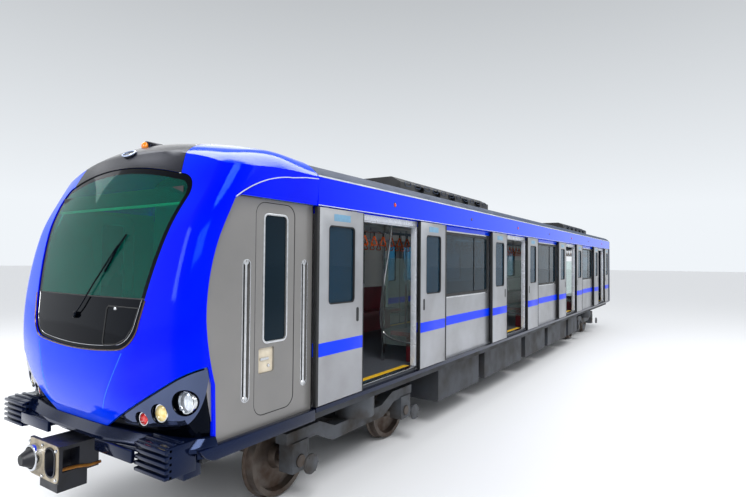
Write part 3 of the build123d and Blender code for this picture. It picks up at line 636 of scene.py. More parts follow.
def nose_half(row, inset, back):
    """Plan of one half of the nose at a level, from the middle round to the back."""
    nose, cheek, half, small, crease, shield = row[1:]
    cheek, small, half = cheek - inset, small - 0.8 * inset, min(half - inset, LEAF_FACE)
    front = along(nose) + inset
    points = []
    for i in range(8):
        y = crease * i / 8
        points.append((front + shield - math.sqrt(shield ** 2 - y ** 2), y))
    hub = front + shield - math.sqrt(shield ** 2 - crease ** 2) + math.sqrt(cheek ** 2 - crease ** 2)
    slope = math.asin((half - small) / (cheek - small))
    start = math.asin(crease / cheek)
    for i in range(8):
        a = start + (slope - start) * i / 8
        points.append((hub - cheek * math.cos(a), cheek * math.sin(a)))
    centre = hub - (cheek - small) * math.cos(slope)
    for i in range(11):
        a = slope + (math.pi / 2 - slope) * i / 10
        points.append((centre - small * math.cos(a), half - small + small * math.sin(a)))
    return points + [(centre + (back - centre) * i / 6, half) for i in range(1, 7)]


def nose_loop(row, inset, back, level):
    """Closed plan of the nose at a level."""
    half = nose_half(row, inset, back)
    return [(x, y, level) for x, y in half] + [(x, -y, level) for x, y in reversed(half[1:])]


def roof_loop(row, inset, place):
    """Closed section across the cab's roof."""
    crown, shoulder, eave = (value - drop for value, drop in zip(row[1:], (inset, inset, inset / 2)))
    half = LEAF_FACE - inset
    reach = SHOULDER_HALF - inset / 2
    slope = 2 * math.atan((crown - shoulder) / reach)
    fall = math.atan2(shoulder - eave, half - reach)
    bow = math.hypot(shoulder - eave, half - reach) / 2 * math.tan((fall - slope) / 2)
    bend = ((half + reach) / 2 + bow * math.sin(fall), (eave + shoulder) / 2 + bow * math.cos(fall))
    top = arc((reach, shoulder), (0, crown), (-reach, shoulder), 28)
    left = arc((-reach, shoulder), (-bend[0], bend[1]), (-half, eave), 10) + [(-half, eave), (-half, 1.0)]
    right = [(half, 1.0)] + arc((half, eave), bend, (reach, shoulder), 10)
    return [(place, y, up(z)) for y, z in top + left + right]


def cab_form(name, inset):
    """Outer form of the cab, drawn in all round."""
    levels = [CAB_FOOT + CAB_HEIGHT * i / 44 for i in range(45)]
    places = [-CAB_REACH + CAB_REACH * i / 30 for i in range(31)] + [BEHIND_CAB + 0.05]
    back = along(BEHIND_CAB)
    plan = loft(name, [nose_loop(between(NOSE_ROWS, z), inset, back, up(z)) for z in levels])
    roof_rows = [roof_loop(between(DOME_ROWS, min(x, 0.0)), inset, along(x)) for x in places]
    return cut(plan, loft("dome", roof_rows), "INTERSECT")


def front_tool(name, outline):
    """Tool that cuts the nose from the front."""
    return prism(name, outline, AHEAD, NOSE_END, "x")


def side_tool(name, outline):
    """Tool that cuts from side to side."""
    return prism(name, outline, -BEYOND, BEYOND, "y")


def rear_tool(name, place):
    """Tool that cuts off all of the cab behind a place."""
    outline = [(place, -BEYOND), (1, -BEYOND), (1, BEYOND), (place, BEYOND)]
    return prism(name, outline, 0, 5, "z")


def aperture(shrink=0.0):
    """Half-round outline of the windscreen and the panel below it, seen from the front."""
    s = shrink
    low = arc((-0.640, 1.822 + s), (0, 1.785 + s), (0.640, 1.822 + s))
    right = arc((0.640, 1.822 + s), (0.810 - 0.7 * s, 1.910 + 0.7 * s), (0.872 - s, 2.050), 10)
    edge = arc((0.872 - s, 2.050), (0.985 - s, 2.660), (1.090 - s, 3.130), 12)
    corner = arc((1.090 - s, 3.130), (1.050 - 0.7 * s, 3.270 - 0.7 * s), (0.900, 3.345 - s), 10)
    top = arc((0.900, 3.345 - s), (0, 3.455 - s), (-0.900, 3.345 - s), 24)
    left = [(-y, z) for y, z in reversed(right + edge + corner)]
    return [(y, up(z)) for y, z in low + right + edge + corner + top + left]


# Rear edge of the mask on the car's side, upwards. Columns: place, height
MASK_EDGE = [(-1.229, 1.100), (-1.245, 1.560), (-1.318, 1.880), (-1.341, 2.080), (-1.305, 2.500),
             (-1.220, 2.800), (-1.087, 3.110)]
MASK_TOP = 3.147


def side_outline(forward=0.0):
    """Outline of the cab's side behind the mask, moved forward by some length."""
    p = [(x - forward, z) for x, z in MASK_EDGE]
    edge = [p[0]] + arc(*p[1:4], 10) + arc(*p[3:6], 10) + [p[5], p[6], (-1.02, MASK_TOP)]
    rear = [(BEHIND_CAB, MASK_TOP), (BEHIND_CAB, 0.9), (p[0][0], 0.9)]
    return [(along(x), up(z)) for x, z in edge + rear]


LAMP_NEAR = 0.405
LAMP_FAR = 1.5
LAMP_FOOT = 1.130
LAMP_EDGE_RISE = 0.593
LAMP_STRIP = 0.028


def lamp_zones(margin=0.0):
    """Tools for the two dark lamp panels, grown by a margin."""
    near = LAMP_NEAR + margin
    high = up(LAMP_FOOT + LAMP_EDGE_RISE * (LAMP_FAR - LAMP_NEAR)) - margin
    corners = [(near, up(LAMP_FOOT)), (LAMP_FAR, high), (LAMP_FAR, up(1.0)), (near, up(1.0))]
    zones = []
    for side in SIDES:
        outline = [(side * y, z) for y, z in corners]
        zones.append(cut(front_tool("zone", outline), side_tool("strip", side_outline(LAMP_STRIP + margin))))
    return zones


CAP_HALF = 0.730


def cap_zone(margin=0.0):
    """Tool for the dark cap over the cab's roof, down to the windscreen's upper rim."""
    front, half = 1.12 - margin, CAP_HALF - margin
    flare = arc((along(-1.45), front), (along(-1.22), half + 0.16), (along(-0.90), half), 12)
    outline = flare + [(along(-0.90), half), (along(0.26), half), (along(0.26), -half), (along(-0.90), -half)]
    outline += [(x, -y) for x, y in reversed(flare)]
    return prism("cap_zone", outline, up(3.20 + margin), up(4.1), "z")


PANEL_GAP = 0.003
SCREEN_GAP = 0.006
SCREEN_BORDER = 0.06
SCREEN_FOOT = 2.25


def make_cab():
    """Cab shell: painted mask, dark cap, windscreen, panel below it and lamp panels."""
    inner = cab_form("inner", SHELL)
    shell = cut(cab_form("outer", 0.0), copy_of(inner, "hollow"))
    mask = cut(copy_of(shell, "mask_shell"), rear_tool("rear", along(0)))
    cut(mask, side_tool("side", side_outline()))
    cut(mask, front_tool("opening", aperture()))
    for zone in lamp_zones():
        cut(mask, zone)
    cut(mask, cap_zone())
    finish(mask, "electric_blue", smooth=22, replaced=("cab_mask",))
    shell.name = "cab_cap"
    cap = cut(shell, cap_zone(PANEL_GAP), "INTERSECT")
    cut(cap, front_tool("opening", aperture()))
    finish(cap, "cap_grey", smooth=30, replaced=("roof_cap",))

    pane = cab_form("windscreen_pane", GLASS_SINK)
    cut(pane, cab_form("pane_back", GLASS_SINK + GLASS))
    cut(pane, front_tool("edge", aperture(SCREEN_GAP)), "INTERSECT")
    outline = [(AHEAD, -BEYOND), (-9, -BEYOND), (-9, BEYOND), (AHEAD, BEYOND)]
    low = prism("low", outline, 0, up(SCREEN_FOOT), "z")
    panel = cut(copy_of(pane, "nose_glass"), copy_of(low, "low_part"), "INTERSECT")
    cut(pane, low)
    border = cut(copy_of(pane, "windscreen_border"), front_tool("hole", aperture(SCREEN_BORDER)))
    cut(pane, front_tool("sight", aperture(SCREEN_BORDER)), "INTERSECT")
    finish(pane, "screen_glass", smooth=30, replaced=("windscreen",))
    finish(border, "gloss_black", smooth=30)
    finish(panel, "gloss_black", smooth=30, replaced=("nose_panel",))

    backing = cut(cab_form("lamp_panel", 0.024), inner)
    cut(backing, join("zones", lamp_zones(PANEL_GAP)), "INTERSECT")
    bore_lamps(backing)
    finish(backing, "gloss_black", smooth=30, replaced=("lamp_panels",))


# Lamps. Columns: place, half width, height, recess radius, turn outwards in degrees, lamp radius, finish
LAMPS = [
    (-1.557, 0.882, 1.266, 0.069, 14, 0.061, "lamp_red"),
    (-1.533, 1.080, 1.338, 0.085, 18, 0.077, "lamp_amber"),
    (-1.465, 1.305, 1.444, 0.107, 32, 0.094, "lamp_clear"),
]
LAMP_AIM = 6
LAMP_DEPTH = 0.02


def aim(turn, side):
    """Way ahead, turned outwards by some degrees."""
    angle = math.radians(turn)
    return (-math.cos(angle), side * math.sin(angle), 0)


def bore_lamps(plate):
    """Cut a round hole for each lamp."""
    for side in SIDES:
        for x, y, z, recess, turn in (row[:5] for row in LAMPS):
            bore = [(recess, -0.2), (recess, 0.1)]
            cut(plate, lathe("bore", bore, (along(x), side * y, up(z)), aim(turn, side)))


def make_lens_plates():
    """Bright lens plates over the lamp panels, with a hole for each lamp."""
    plate = cut(cab_form("lamp_lens", GLASS_SINK), cab_form("lens_back", GLASS_SINK + GLASS))
    outline = [(0.680, 1.212), (0.665, 1.262), (1.5, 1.762), (1.5, 1.330)]
    outline += arc((1.5, 1.330), (1.160, 1.230), (0.680, 1.212), 12)[1:]
    half = front_tool("half", [(-y, up(z)) for y, z in outline])
    cut(plate, join("halves", both_sides([half])), "INTERSECT")
    rear = arc((-1.298, 1.740), (-1.337, 1.470), (-1.430, 1.275), 10)
    rear += [(-1.430, 1.275), (-1.6, 1.16), (-1.9, 1.16), (-1.9, 1.74)]
    cut(plate, side_tool("front", [(along(x), up(z)) for x, z in rear]), "INTERSECT")
    bore_lamps(plate)
    finish(plate, "mirror_silver", smooth=30)


def make_lamps():
    """Lamps: a dark cup, a bright rim and a bulb glass each, the same on both sides."""
    cups, rims = [], []
    for x, y, z, recess, turn, radius, tone in LAMPS:
        place, way = (along(x), -y, up(z)), aim(turn, -1)
        wall = recess - 0.006
        cups.append(lathe("cup", [(recess, -0.012), (recess, -0.075), (HUB, -0.075), (HUB, -0.07),
                                  (wall, -0.07), (wall, -0.012)], place, way, ring=True))
        sunk = [p - LAMP_DEPTH * w for p, w in zip(place, way)]
        ahead = aim(LAMP_AIM, -1)
        rims.append(lathe("rim", [(radius, -0.05), (radius, -0.004), (radius - 0.004, 0.0), (radius - 0.012, -0.002),
                                  (radius - 0.014, -0.012), (radius - 0.014, -0.05)], sunk, ahead, ring=True))
        inside = radius - 0.013
        bulb = lathe("bulb", [(HUB, -0.04), (inside, -0.04), (inside, -0.014), (0.8 * inside, -0.006),
                              (0.45 * inside, -0.001), (HUB, 0.001)], sunk, ahead)
        finish(join(tone + "_glass", both_sides([bulb])), tone)
    finish(join("lamp_cups", both_sides(cups)), "gloss_black", replaced=("lamp_rings",))
    finish(join("lamp_bezels", both_sides(rims)), "chrome")


def nose_front(y, z, inset=0.0):
    """Place of the nose's face at a half width and a height above the rail."""
    half = nose_half(between(NOSE_ROWS, z), inset, along(BEHIND_CAB))
    y = abs(y)
    for (x0, y0), (x1, y1) in zip(half, half[1:]):
        if y0 <= y <= y1:
            return x0 + (x1 - x0) * (y - y0) / max(y1 - y0, 1e-6)
    return half[-1][0]


def on_nose(points, proud, inset=0.0):
    """Points on the nose's face, a little in front of it."""
    return [(nose_front(y, z, inset) - proud, y, up(z)) for y, z in points]


def make_nose_trim():
    """Rims and joints of the dark panel and its service pane, and the painted highlight lines along the shield's
    folds.
    """
    low = arc((-0.640, 1.822), (0, 1.785), (0.640, 1.822), 30)
    right = arc((0.640, 1.822), (0.810, 1.910), (0.872, 2.050), 12) + [(0.872, 2.050), (0.915, 2.240)]
    rim = [(-y, z) for y, z in reversed(right)] + low + right
    finish(tube("panel_rim", on_nose(rim, 0.002), 0.0065), "bronze_trim")
    inner_rim = [(0.94 * y, 1.822 + (z - 1.785) * 0.955) for y, z in rim]
    finish(tube("panel_line", on_nose(inner_rim, 0.001, GLASS_SINK), 0.0022), "chrome")
    pane = [(-0.43, 2.175), (-0.41, 2.15), (-0.41, 1.87), (-0.43, 1.845), (-0.60, 1.862), (-0.72, 1.915),
            (-0.80, 2.02), (-0.835, 2.175)]
    finish(tube("service_pane_edge", on_nose(pane + pane[:1], 0.001, GLASS_SINK), 0.007), "window_rubber")
    latch = on_nose([(-0.533, 2.158)], 0.0, GLASS_SINK)[0]
    finish(lathe("latch", [(HUB, 0.012), (0.012, 0.012), (0.016, 0.006), (0.016, -0.005), (HUB, -0.005)],
                 latch, (-1, 0, 0.1)), "chrome")
    seam = [(y / 10, SCREEN_FOOT) for y in range(-9, 10)]
    finish(tube("screen_seam", on_nose(seam, -0.001, GLASS_SINK), 0.006), "window_rubber")
    # Light blue beads sunk along each fold of the shield: a painted highlight on the crease.
    heights = [1.31 + 0.035 * i for i in range(20)]
    fold = [(-between(NOSE_ROWS, z)[5], z) for z in heights]
    fold = [(y, z) for y, z in fold if z < 1.86 and (y > -0.68 or z < 1.83)]
    finish(join("shield_fold_highlights", both_sides([tube("fold", on_nose(fold, -0.0015), 0.0035)])), "crease_highlight_blue")


def make_screen_fittings():
    """Wiper, and the blind with its bar behind the windscreen."""
    arm = [(0.064, 2.07), (-0.02, 2.15), (-0.18, 2.36), (-0.434, 2.704)]
    rod = tube("wiper_rod", on_nose(arm, 0.024, GLASS_SINK), 0.0065)
    rubber = [(-0.30, 2.47), (-0.434, 2.704), (-0.50, 2.80)]
    blade = tube("wiper_blade", on_nose(rubber, 0.012, GLASS_SINK), 0.008)
    hub = lathe("wiper_hub", [(HUB, 0.03), (0.022, 0.03), (0.03, 0.02), (0.03, -0.01), (HUB, -0.01)],
                on_nose(arm[:1], 0.004, GLASS_SINK)[0], (-1, 0, 0.1))
    finish(join("wiper_arm", [rod, blade, hub]), "gloss_black", replaced=("wiper",))
    bar = block("blind_bar", (along(-1.312), along(-1.290)), (-1.02, 1.02), (up(3.05), up(3.075)), 0.006)
    finish(bar, "bar_green")
    blind = block("sun_blind", (along(-1.285), along(-1.280)), (-1.0, 1.0), (up(3.075), up(3.22)), 0.002)
    finish(blind, "window_rubber")


SCREW_LINE = 0.70


def make_cap_fittings():
    """Beacon, air scoop and screws on the cap."""
    hub = (along(-1.03), -0.03, up(3.722))
    body = lathe("beacon_body", [(HUB, -0.2), (0.05, -0.2), (0.056, -0.19), (0.056, -0.02), (0.05, -0.01),
                                 (0.047, -0.012), (HUB, -0.012)], hub, (-1, 0, 0))
    foot = block("beacon_foot", (hub[0] + 0.02, hub[0] + 0.26), (-0.10, 0.04), (up(3.66), up(3.745)), 0.012)
    finish(join("beacon_housing", [body, foot]), "cap_grey")
    finish(lathe("beacon_lens", [(HUB, -0.012), (0.043, -0.012), (0.043, 0.002), (0.033, 0.016), (0.018, 0.023),
                                 (HUB, 0.026)], hub, (-1, 0, 0)), "beacon_amber")
    ring = [(along(-1.200) + 0.03 * math.sin(a), -0.04 + 0.10 * math.cos(a), up(3.615) + 0.030 * math.sin(a))
            for a in (math.tau * i / 28 for i in range(28))]
    finish(tube("scoop_rim", ring, 0.008, closed=True), "lens_bright")
    mouth = lathe("scoop_mouth", [(HUB, 0.0), (0.97, 0.0), (0.97, -1.0), (HUB, -1.0)], (0, 0, 0), (0, 0, 1))
    tilt = Matrix.Rotation(math.radians(-45), 4, "Y") @ Matrix.Diagonal((0.042, 0.10, 0.03, 1))
    mouth.data.transform(Matrix.Translation((along(-1.20), -0.04, up(3.613))) @ tilt)
    finish(mouth, "gloss_black")
    spots = []
    for i in range(7):
        x = -0.92 + 0.17 * i
        crown, shoulder = between(DOME_ROWS, min(x, 0))[1:3]
        spots.append((along(x), -SCREW_LINE, up(crown - (crown - shoulder) * (SCREW_LINE / SHOULDER_HALF) ** 2)))
    screw = lathe("screw", [(HUB, 0.004), (0.007, 0.004), (0.009, 0.001), (0.009, -0.01), (HUB, -0.01)],
                  (0, 0, 0), (0, 0, 1), 12)
    finish(join("cap_screws", both_sides(repeated(screw, spots))), "chrome")


APRON_BACK = -1.25


def foot_loop(grow, level):
    """Plan of the nose's foot at a level, grown outwards."""
    return nose_loop(NOSE_ROWS[0], -grow, along(0.0), up(level))


def foot_band(name, rows, inside):
    """Band round the nose's foot, hollow inside. Columns of its rows: growth, level."""
    band = loft(name, [foot_loop(*row) for row in rows])
    cut(band, loft("hollow", [foot_loop(inside, 0.9), foot_loop(inside, 1.3)]))
    return cut(band, rear_tool("behind", along(APRON_BACK)))


def make_apron():
    """Sloping deck round the nose's foot, with the flaps and skirts under the cab."""
    deck = foot_band("deck", [(-0.06, 1.145), (0.030, 1.145), (0.092, 1.092), (0.105, 1.082), (0.105, 1.058),
                              (0.098, 1.048), (-0.06, 1.048)], -0.06)
    under = foot_band("under", [(-0.02, 1.055), (-0.02, 0.965), (-0.06, 0.955)], -0.10)
    flap = block("flap", (along(-1.68), along(-1.645)), (-0.936, -0.400), (up(0.955), up(1.058)), 0.008)
    outline = [(-0.01, 1.080), (-0.01, 0.965), (-1.20, 0.965)]
    outline += arc((-1.20, 0.965), (-1.34, 0.99), (-1.42, 1.080), 8)[1:] + [(-1.42, 1.080)]
    skirt = prism("skirt", [(along(x), up(z)) for x, z in outline], -LEAF_FACE, -1.385, "y")
    round_edges(skirt, 0.008)
    finish(join("nose_apron", [deck, under] + both_sides([flap, skirt])), "navy_black", smooth=30,
           replaced=("apron",))


def make_end_blocks():
    """Ribbed blocks at the two ends of the apron, with the beams behind them."""
    wide = (-1.35, -0.95)
    core = block("core", (along(-1.635), along(-1.38)), wide, (up(0.90), up(1.145)), 0.01)
    rib = block("rib", (along(-1.665), along(-1.60)), wide, (up(0.905), up(0.933)), 0.005)
    top_rib = block("top_rib", (along(-1.64), along(-1.61)), (-1.33, -0.97), (up(1.13), up(1.16)), 0.005)
    beam = block("beam", (along(-1.45), along(-1.28)), (-1.29, -1.01), (up(0.82), up(1.05)), 0.01)
    pieces = [core, beam] + repeated(rib, [(0, 0, 0.05 * i) for i in range(5)])
    pieces += repeated(top_rib, [(0.06, 0, 0), (0.13, 0, 0)])
    finish(join("end_blocks", both_sides(pieces)), "navy_black", smooth=30, replaced=("bumpers",))


def make_coupler_face():
    """Pale face plate with its bolts, cone base ring, funnel rim and pipes."""
    body = "front_coupler_body"
    cone, funnel = (0.13, up(0.86)), (-0.125, up(0.86))
    plate = prism("face_plate", rounded((0, up(0.855)), (0.50, 0.31), 0.05), along(-1.896), along(-1.8895), "x")
    cut(plate, lathe("cone_hole", [(0.113, -0.1), (0.113, 0.1)], (along(-1.89), *cone), (1, 0, 0)))
    cut(plate, prism("funnel_hole", rounded(funnel, (0.165, 0.245), 0.07), along(-2), along(-1.8), "x"))
    plate.name = "plate"
    finish(plate, "coupler_face", body=body)
    ring = lathe("ring", [(0.113, -0.01), (0.113, 0.05), (0.104, 0.056), (0.096, 0.056), (0.096, -0.01)],
                 (along(-1.89), *cone), (-1, 0, 0), ring=True)
    bolt = lathe("bolt", [(HUB, 0.016), (0.012, 0.016), (0.014, 0.012), (0.014, -0.002), (HUB, -0.002)],
                 (along(-1.896), 0, 0), (-1, 0, 0), 6)
    spots = [(-0.225, 0.735), (-0.225, 0.975), (0.0, 0.985), (0.0, 0.725), (0.232, 0.735), (0.232, 0.975)]
    bolts = repeated(bolt, [(0, y, up(z)) for y, z in spots])
    finish(join("coupler_rings", [ring] + bolts), "polished_steel", body=body)
    rim = frame_ring("funnel_rim", funnel, (0.145, 0.225), 0.06, 0.014, along(-1.905), along(-1.88), "x")
    finish(rim, "coupler_black", body=body)
    pipe = tube("pipe", [(along(-1.86), -0.205, up(0.80)), (along(-1.72), -0.205, up(0.79)),
                         (along(-1.60), -0.1886, up(0.76)), (along(-1.50), -0.1845, up(0.76))], 0.014)
    finish(join("coupler_pipes", both_sides([pipe])), "brass", body=body)


def side_pair(piece, label, material, on_door=False):
    """A piece of the cab's right side and its copy on the left, on the cab door or on the car."""
    for name, part in (("right", piece), ("left", mirrored(piece))):
        part.name = label.format(name)
        finish(part, material, body=f"cab_door_{name}_body" if on_door else "root")


DOOR_MIDDLE = along(-0.535)
WINDOW_SPOT = (DOOR_MIDDLE, up(2.4175))
HANDRAILS = {900: -0.900, 125: -0.125}


def make_cab_door():
    """Seal, window and lock of the cab's side doors."""
    seal = frame_ring("seal", (DOOR_MIDDLE, up(2.145)), (0.512, 1.932), 0.111, 0.007, -1.379, -1.34)
    side_pair(seal, "cab_door_seal_{}", "window_rubber")
    pane = rounded(WINDOW_SPOT, (0.286, 1.161), 0.038)
    side_pair(prism("glass", pane, -1.3665, -1.3635, "y"), "cab_door_glass_{}", "dark_glass", True)
    side_pair(prism("glass", pane, -1.3565, -1.3540, "y"), "cab_door_glass_inner_{}", "dark_glass", True)
    frame_piece = frame_ring("frame", WINDOW_SPOT, (0.29, 1.165), 0.04, 0.02, -1.3825, -1.376)
    round_edges(frame_piece, 0.002)
    side_pair(frame_piece, "cab_door_frame_{}", "polished_steel", True)
    lock = prism("lock", rounded((along(-0.64), up(1.665)), (0.196, 0.226), 0.018), -1.3565, -1.3525, "y")
    side_pair(lock, "cab_lock_plate_{}", "cream_enamel", True)
    grip = block("grip", (along(-0.71), along(-0.60)), (-1.370, -1.3565), (up(1.665), up(1.69)), 0.005)
    key = lathe("key", [(HUB, 0.01), (0.014, 0.01), (0.016, 0.006), (0.016, -0.002), (HUB, -0.002)],
                (along(-0.60), -1.3565, up(1.61)), (0, -1, 0), 20)
    side_pair(join("handle", [grip, key]), "cab_lock_handle_{}", "polished_steel", True)


def make_handrails():
    """Upright handrails sunk beside the cab doors, with painted shade at the back of their pockets, and the joint
    behind the cab.
    """
    low, high = 1.362, 2.563
    middle = (0, up(1.9625))
    end = lathe("end", [(HUB, 0.0), (0.024, 0.0), (0.027, -0.004), (0.027, -0.03), (HUB, -0.03)],
                (0, -1.379, up(low)), (0, -1, 0), 24)
    rail = tube("rail", [(0, -1.3655, up(low)), (0, -1.3655, up(high))], 0.0168)
    rim = frame_ring("rim", middle, (0.080, 1.241), 0.039, 0.009, -1.3828, -1.376)
    round_edges(rim, 0.002)
    fittings = join("fittings", [rail, rim] + repeated(end, [(0, 0, 0), (0, 0, high - low)]))
    fittings = repeated(fittings, [(along(x), 0, 0) for x in HANDRAILS.values()])
    side_pair(join("fittings", fittings), "handrail_ends_{}", "polished_steel")
    # Dark plates at the back of each handrail pocket: painted shade; the pockets have the cab's grey paint.
    for label, x in HANDRAILS.items():
        pocket = prism("pocket", rounded((along(x), middle[1]), (0.082, 1.243), 0.0405), -1.3475, -1.3462, "y")
        side_pair(pocket, f"handrail_pocket_shade_{{}}_{label}", "pocket_painted_shade")
    joint = prism("joint", rounded((along(-0.004), up(2.1)), (0.012, 2.08), 0.004), -1.384, -1.375, "y")
    side_pair(joint, "cab_joint_{}", "window_rubber")


# Saloon
FIRST_DOORWAY = 1.537
DOOR_PITCH = 5.08
DOORWAYS = [along(FIRST_DOORWAY + DOOR_PITCH * i) for i in range(4)]
BAYS = [(a + b) / 2 for a, b in zip(DOORWAYS, DOORWAYS[1:])]
SALOON_END = 10.06
LEAF_HALF = 0.418
LEAF_MIDDLE = 0.421
LEAF_TRAVEL = 0.697
LEAF_BACK = 1.41
WINDOW_LEVEL = up(2.54)


def make_leaf_parts():
    """Parts of one sliding door about its own middle: sheet, rubber with painted shade at its edges, pane and notice
    plate.
    """
    middle = (0, WINDOW_LEVEL)
    sheet = block("sheet", (-LEAF_HALF, LEAF_HALF), (0.0, 0.040), (1.123, 3.165), 0.003)
    cut(sheet, prism("sight", rounded(middle, (0.48, 0.84), 0.05), -0.01, 0.05, "y"))
    hanger = block("hanger", (-0.05, 0.05), (0.004, 0.014), (3.160, 3.358))
    edging = frame_ring("edging", middle, (0.48, 0.84), 0.05, 0.016, 0.0385, 0.0420)
    sheet = join("leaf_sheet", [sheet, edging] + repeated(hanger, [(-0.26, 0, 0), (0.26, 0, 0)]))
    surround = frame_ring("surround", middle, (0.454, 0.814), 0.037, 0.013, 0.003, 0.0385)
    grip = prism("grip", rounded((0.30, up(1.98)), (0.05, 0.16), 0.02), 0.0385, 0.0408, "y")
    # Black strips at the leaf's two edges: partly the leaf's rubber edge, partly painted shade of the gap beside the
    # leaf.
    edges = [block("edge", (s * LEAF_HALF - 0.014, s * LEAF_HALF + 0.014 - s * 0.012), (-0.0005, 0.0412),
                   (1.125, 3.163), 0.002) for s in SIDES]
    rubber = join("leaf_rubber_and_gap_shade", [surround, grip] + edges)
    plate = prism("leaf_plate", rounded((0, up(3.045)), (0.30, 0.075), 0.008), 0.0392, 0.0412, "y")
    pane = prism("leaf_pane", rounded(middle, (0.46, 0.82), 0.04), 0.014, 0.020, "y")
    return [(sheet, "stainless", "sheet"), (rubber, "window_rubber", "rubber"), (pane, "leaf_glass", "pane"),
            (plate, "blank_plate", "plate")]


def make_leaves():
    """Sixteen sliding doors, copied from one; those of the right side stand open."""
    parts = make_leaf_parts()
    for index, middle in enumerate(DOORWAYS, 1):
        for side, name in ((1, "left"), (-1, "right")):
            for hand, way in (("fore", -1), ("aft", 1)):
                node = f"leaf_{name}_{index}_{hand}"
                x = middle + way * (LEAF_MIDDLE + (LEAF_TRAVEL if side < 0 else 0))
                for source, material, label in parts:
                    twin = copy_of(source, f"{node}_{label}")
                    twin.data.transform(Matrix.Diagonal((-way, side, 1, 1)))
                    twin.data.transform(Matrix.Translation((x, side * LEAF_BACK, 0)))
                    if -way * side < 0:
                        twin.data.flip_normals()
                    finish(twin, material, body=node + "_body", replaced=(node,) if label == "sheet" else ())
    for part in parts:
        bpy.data.objects.remove(part[0])


def at_each(piece, places):
    """Copies of a piece at places along the car, on both sides."""
    return both_sides(repeated(piece, [(x, 0, 0) for x in places]))


def make_side_windows():
    """Bright surrounds of the side windows, and the post in each."""
    ring = frame_ring("ring", (0, up(2.545)), (1.85, 1.01), 0.07, 0.022, -1.3865, -1.379)
    round_edges(ring, 0.002)
    finish(join("window_surrounds", at_each(ring, BAYS)), "polished_steel")
    post = block("post", (0.28, 0.30), (-1.383, -1.375), (up(2.09), up(3.0)))
    finish(join("window_posts", at_each(post, BAYS)), "window_rubber")


def make_side_lamps():
    """Round lamps on the blue band: a red one over each doorway, a brown one over each window."""
    rims = []
    for radius, places, name, tone in ((0.024, DOORWAYS, "door_lamps", "lamp_red"),
                                       (0.017, BAYS, "side_lamps", "lamp_brown")):
        spot, way = (0, -LEAF_FACE, up(3.30)), (0, -1, 0)
        lamp = lathe("lamp", [(HUB, 0.014), (0.5 * radius, 0.012), (0.85 * radius, 0.007), (radius, 0.0),
                              (radius, -0.003), (HUB, -0.003)], spot, way, 24)
        finish(join(name, at_each(lamp, places)), tone)
        edge = radius + 0.009
        rim = lathe("rim", [(radius, 0.002), (radius + 0.007, 0.002), (edge, 0.0), (edge, -0.003),
                            (radius, -0.003)], spot, way, 24, ring=True)
        rims += at_each(rim, places)
    finish(join("lamp_rims", rims), "window_rubber")


def make_side_trim():
    """Gutters, drip strips, door thresholds and the pale line over the mask's edge."""
    gutter = block("gutter", (CAB_BACK, SALOON_END), (-1.4555, -1.425), (up(3.445), up(3.462)), 0.004)
    drip = block("drip", (CAB_BACK, SALOON_END), (-1.4575, -1.449), (up(3.150), up(3.158)), 0.002)
    finish(join("gutters", both_sides([gutter, drip])), "pale_trim")
    threshold = block("threshold", (-0.70, 0.70), (-1.40, -1.30), (1.1585, 1.1645), 0.002)
    finish(join("thresholds", at_each(threshold, DOORWAYS)), "polished_steel")
    line = arc((-1.095, 3.120), (-0.83, 3.272), (-0.38, 3.378), 14) + [(-0.38, 3.378), (-0.2, 3.405), (0.0, 3.42)]
    trim = tube("trim", [(along(x), -1.4495, up(z)) for x, z in line], 0.005)
    finish(join("mask_trim", both_sides([trim])), "pale_trim")


STRAPS = 72
STRAP_PITCH = 0.24
STRAP_LINE = 0.80
STRAP_RAIL = 3.028


def make_straps():
    """Hanging straps: rails, short belts and round-cornered triangular grips."""
    corners = [(-0.058, -0.17), (0.0, -0.17), (0.058, -0.17), (0.075, -0.15), (0.04, -0.10), (0.012, -0.05),
               (-0.012, -0.05), (-0.04, -0.10), (-0.075, -0.15)]
    grip = tube("grip", [(x, 0, z) for x, z in corners], 0.010, closed=True)
    belt = block("belt", (-0.013, 0.013), (-0.003, 0.003), (-0.075, 0.018), 0.001)
    spots = [(along(0.62 + STRAP_PITCH * i), side * STRAP_LINE, 3.01) for side in SIDES for i in range(STRAPS)]
    finish(join("strap_grips", repeated(grip, spots)), "orange_plastic", replaced=("straps",))
    finish(join("strap_belts", repeated(belt, spots)), "window_rubber")
    rail = tube("rail", [(along(0.25), -STRAP_LINE, STRAP_RAIL), (SALOON_END - 0.25, -STRAP_LINE, STRAP_RAIL)], 0.016)
    hanger = tube("hanger", [(0, -STRAP_LINE, STRAP_RAIL), (0, -STRAP_LINE, 3.275)], 0.012)
    hangers = at_each(hanger, [along(0.5) + 1.95 * i for i in range(10)])
    finish(join("strap_rails", both_sides([rail]) + hangers), "polished_steel")


def make_linings():
    """Wall linings with their windows, cornices, ceiling lights and air grilles."""
    ends = [along(0.08)] + [x + e * 0.73 for x in DOORWAYS for e in SIDES] + [SALOON_END - 0.02]
    linings = [block("cornice", (along(0.07), SALOON_END - 0.01), (-1.3005, -1.2965), (3.10, 3.277))]
    for low, high in zip(ends[::2], ends[1::2]):
        lining = block("lining", (low, high), (-1.3205, -1.3140), (1.165, 3.096))
        for x in BAYS:
            if low < x < high:
                cut(lining, side_tool("sight", rounded((x, up(2.545)), (1.77, 0.93), 0.05)))
        linings.append(lining)
    finish(join("inner_linings", both_sides(linings)), "interior_white")
    light = block("light", (along(0.3), SALOON_END - 0.2), (-0.62, -0.50), (3.268, 3.279), 0.004)
    finish(join("ceiling_lights", both_sides([light])), "light_strip")
    grille = block("grille", (0, 0.5), (-0.20, 0.20), (3.270, 3.279), 0.003)
    grilles = repeated(grille, [(along(0.6 + 0.74 * i), 0, 0) for i in range(24)])
    finish(join("ceiling_grilles", grilles), "pale_trim")


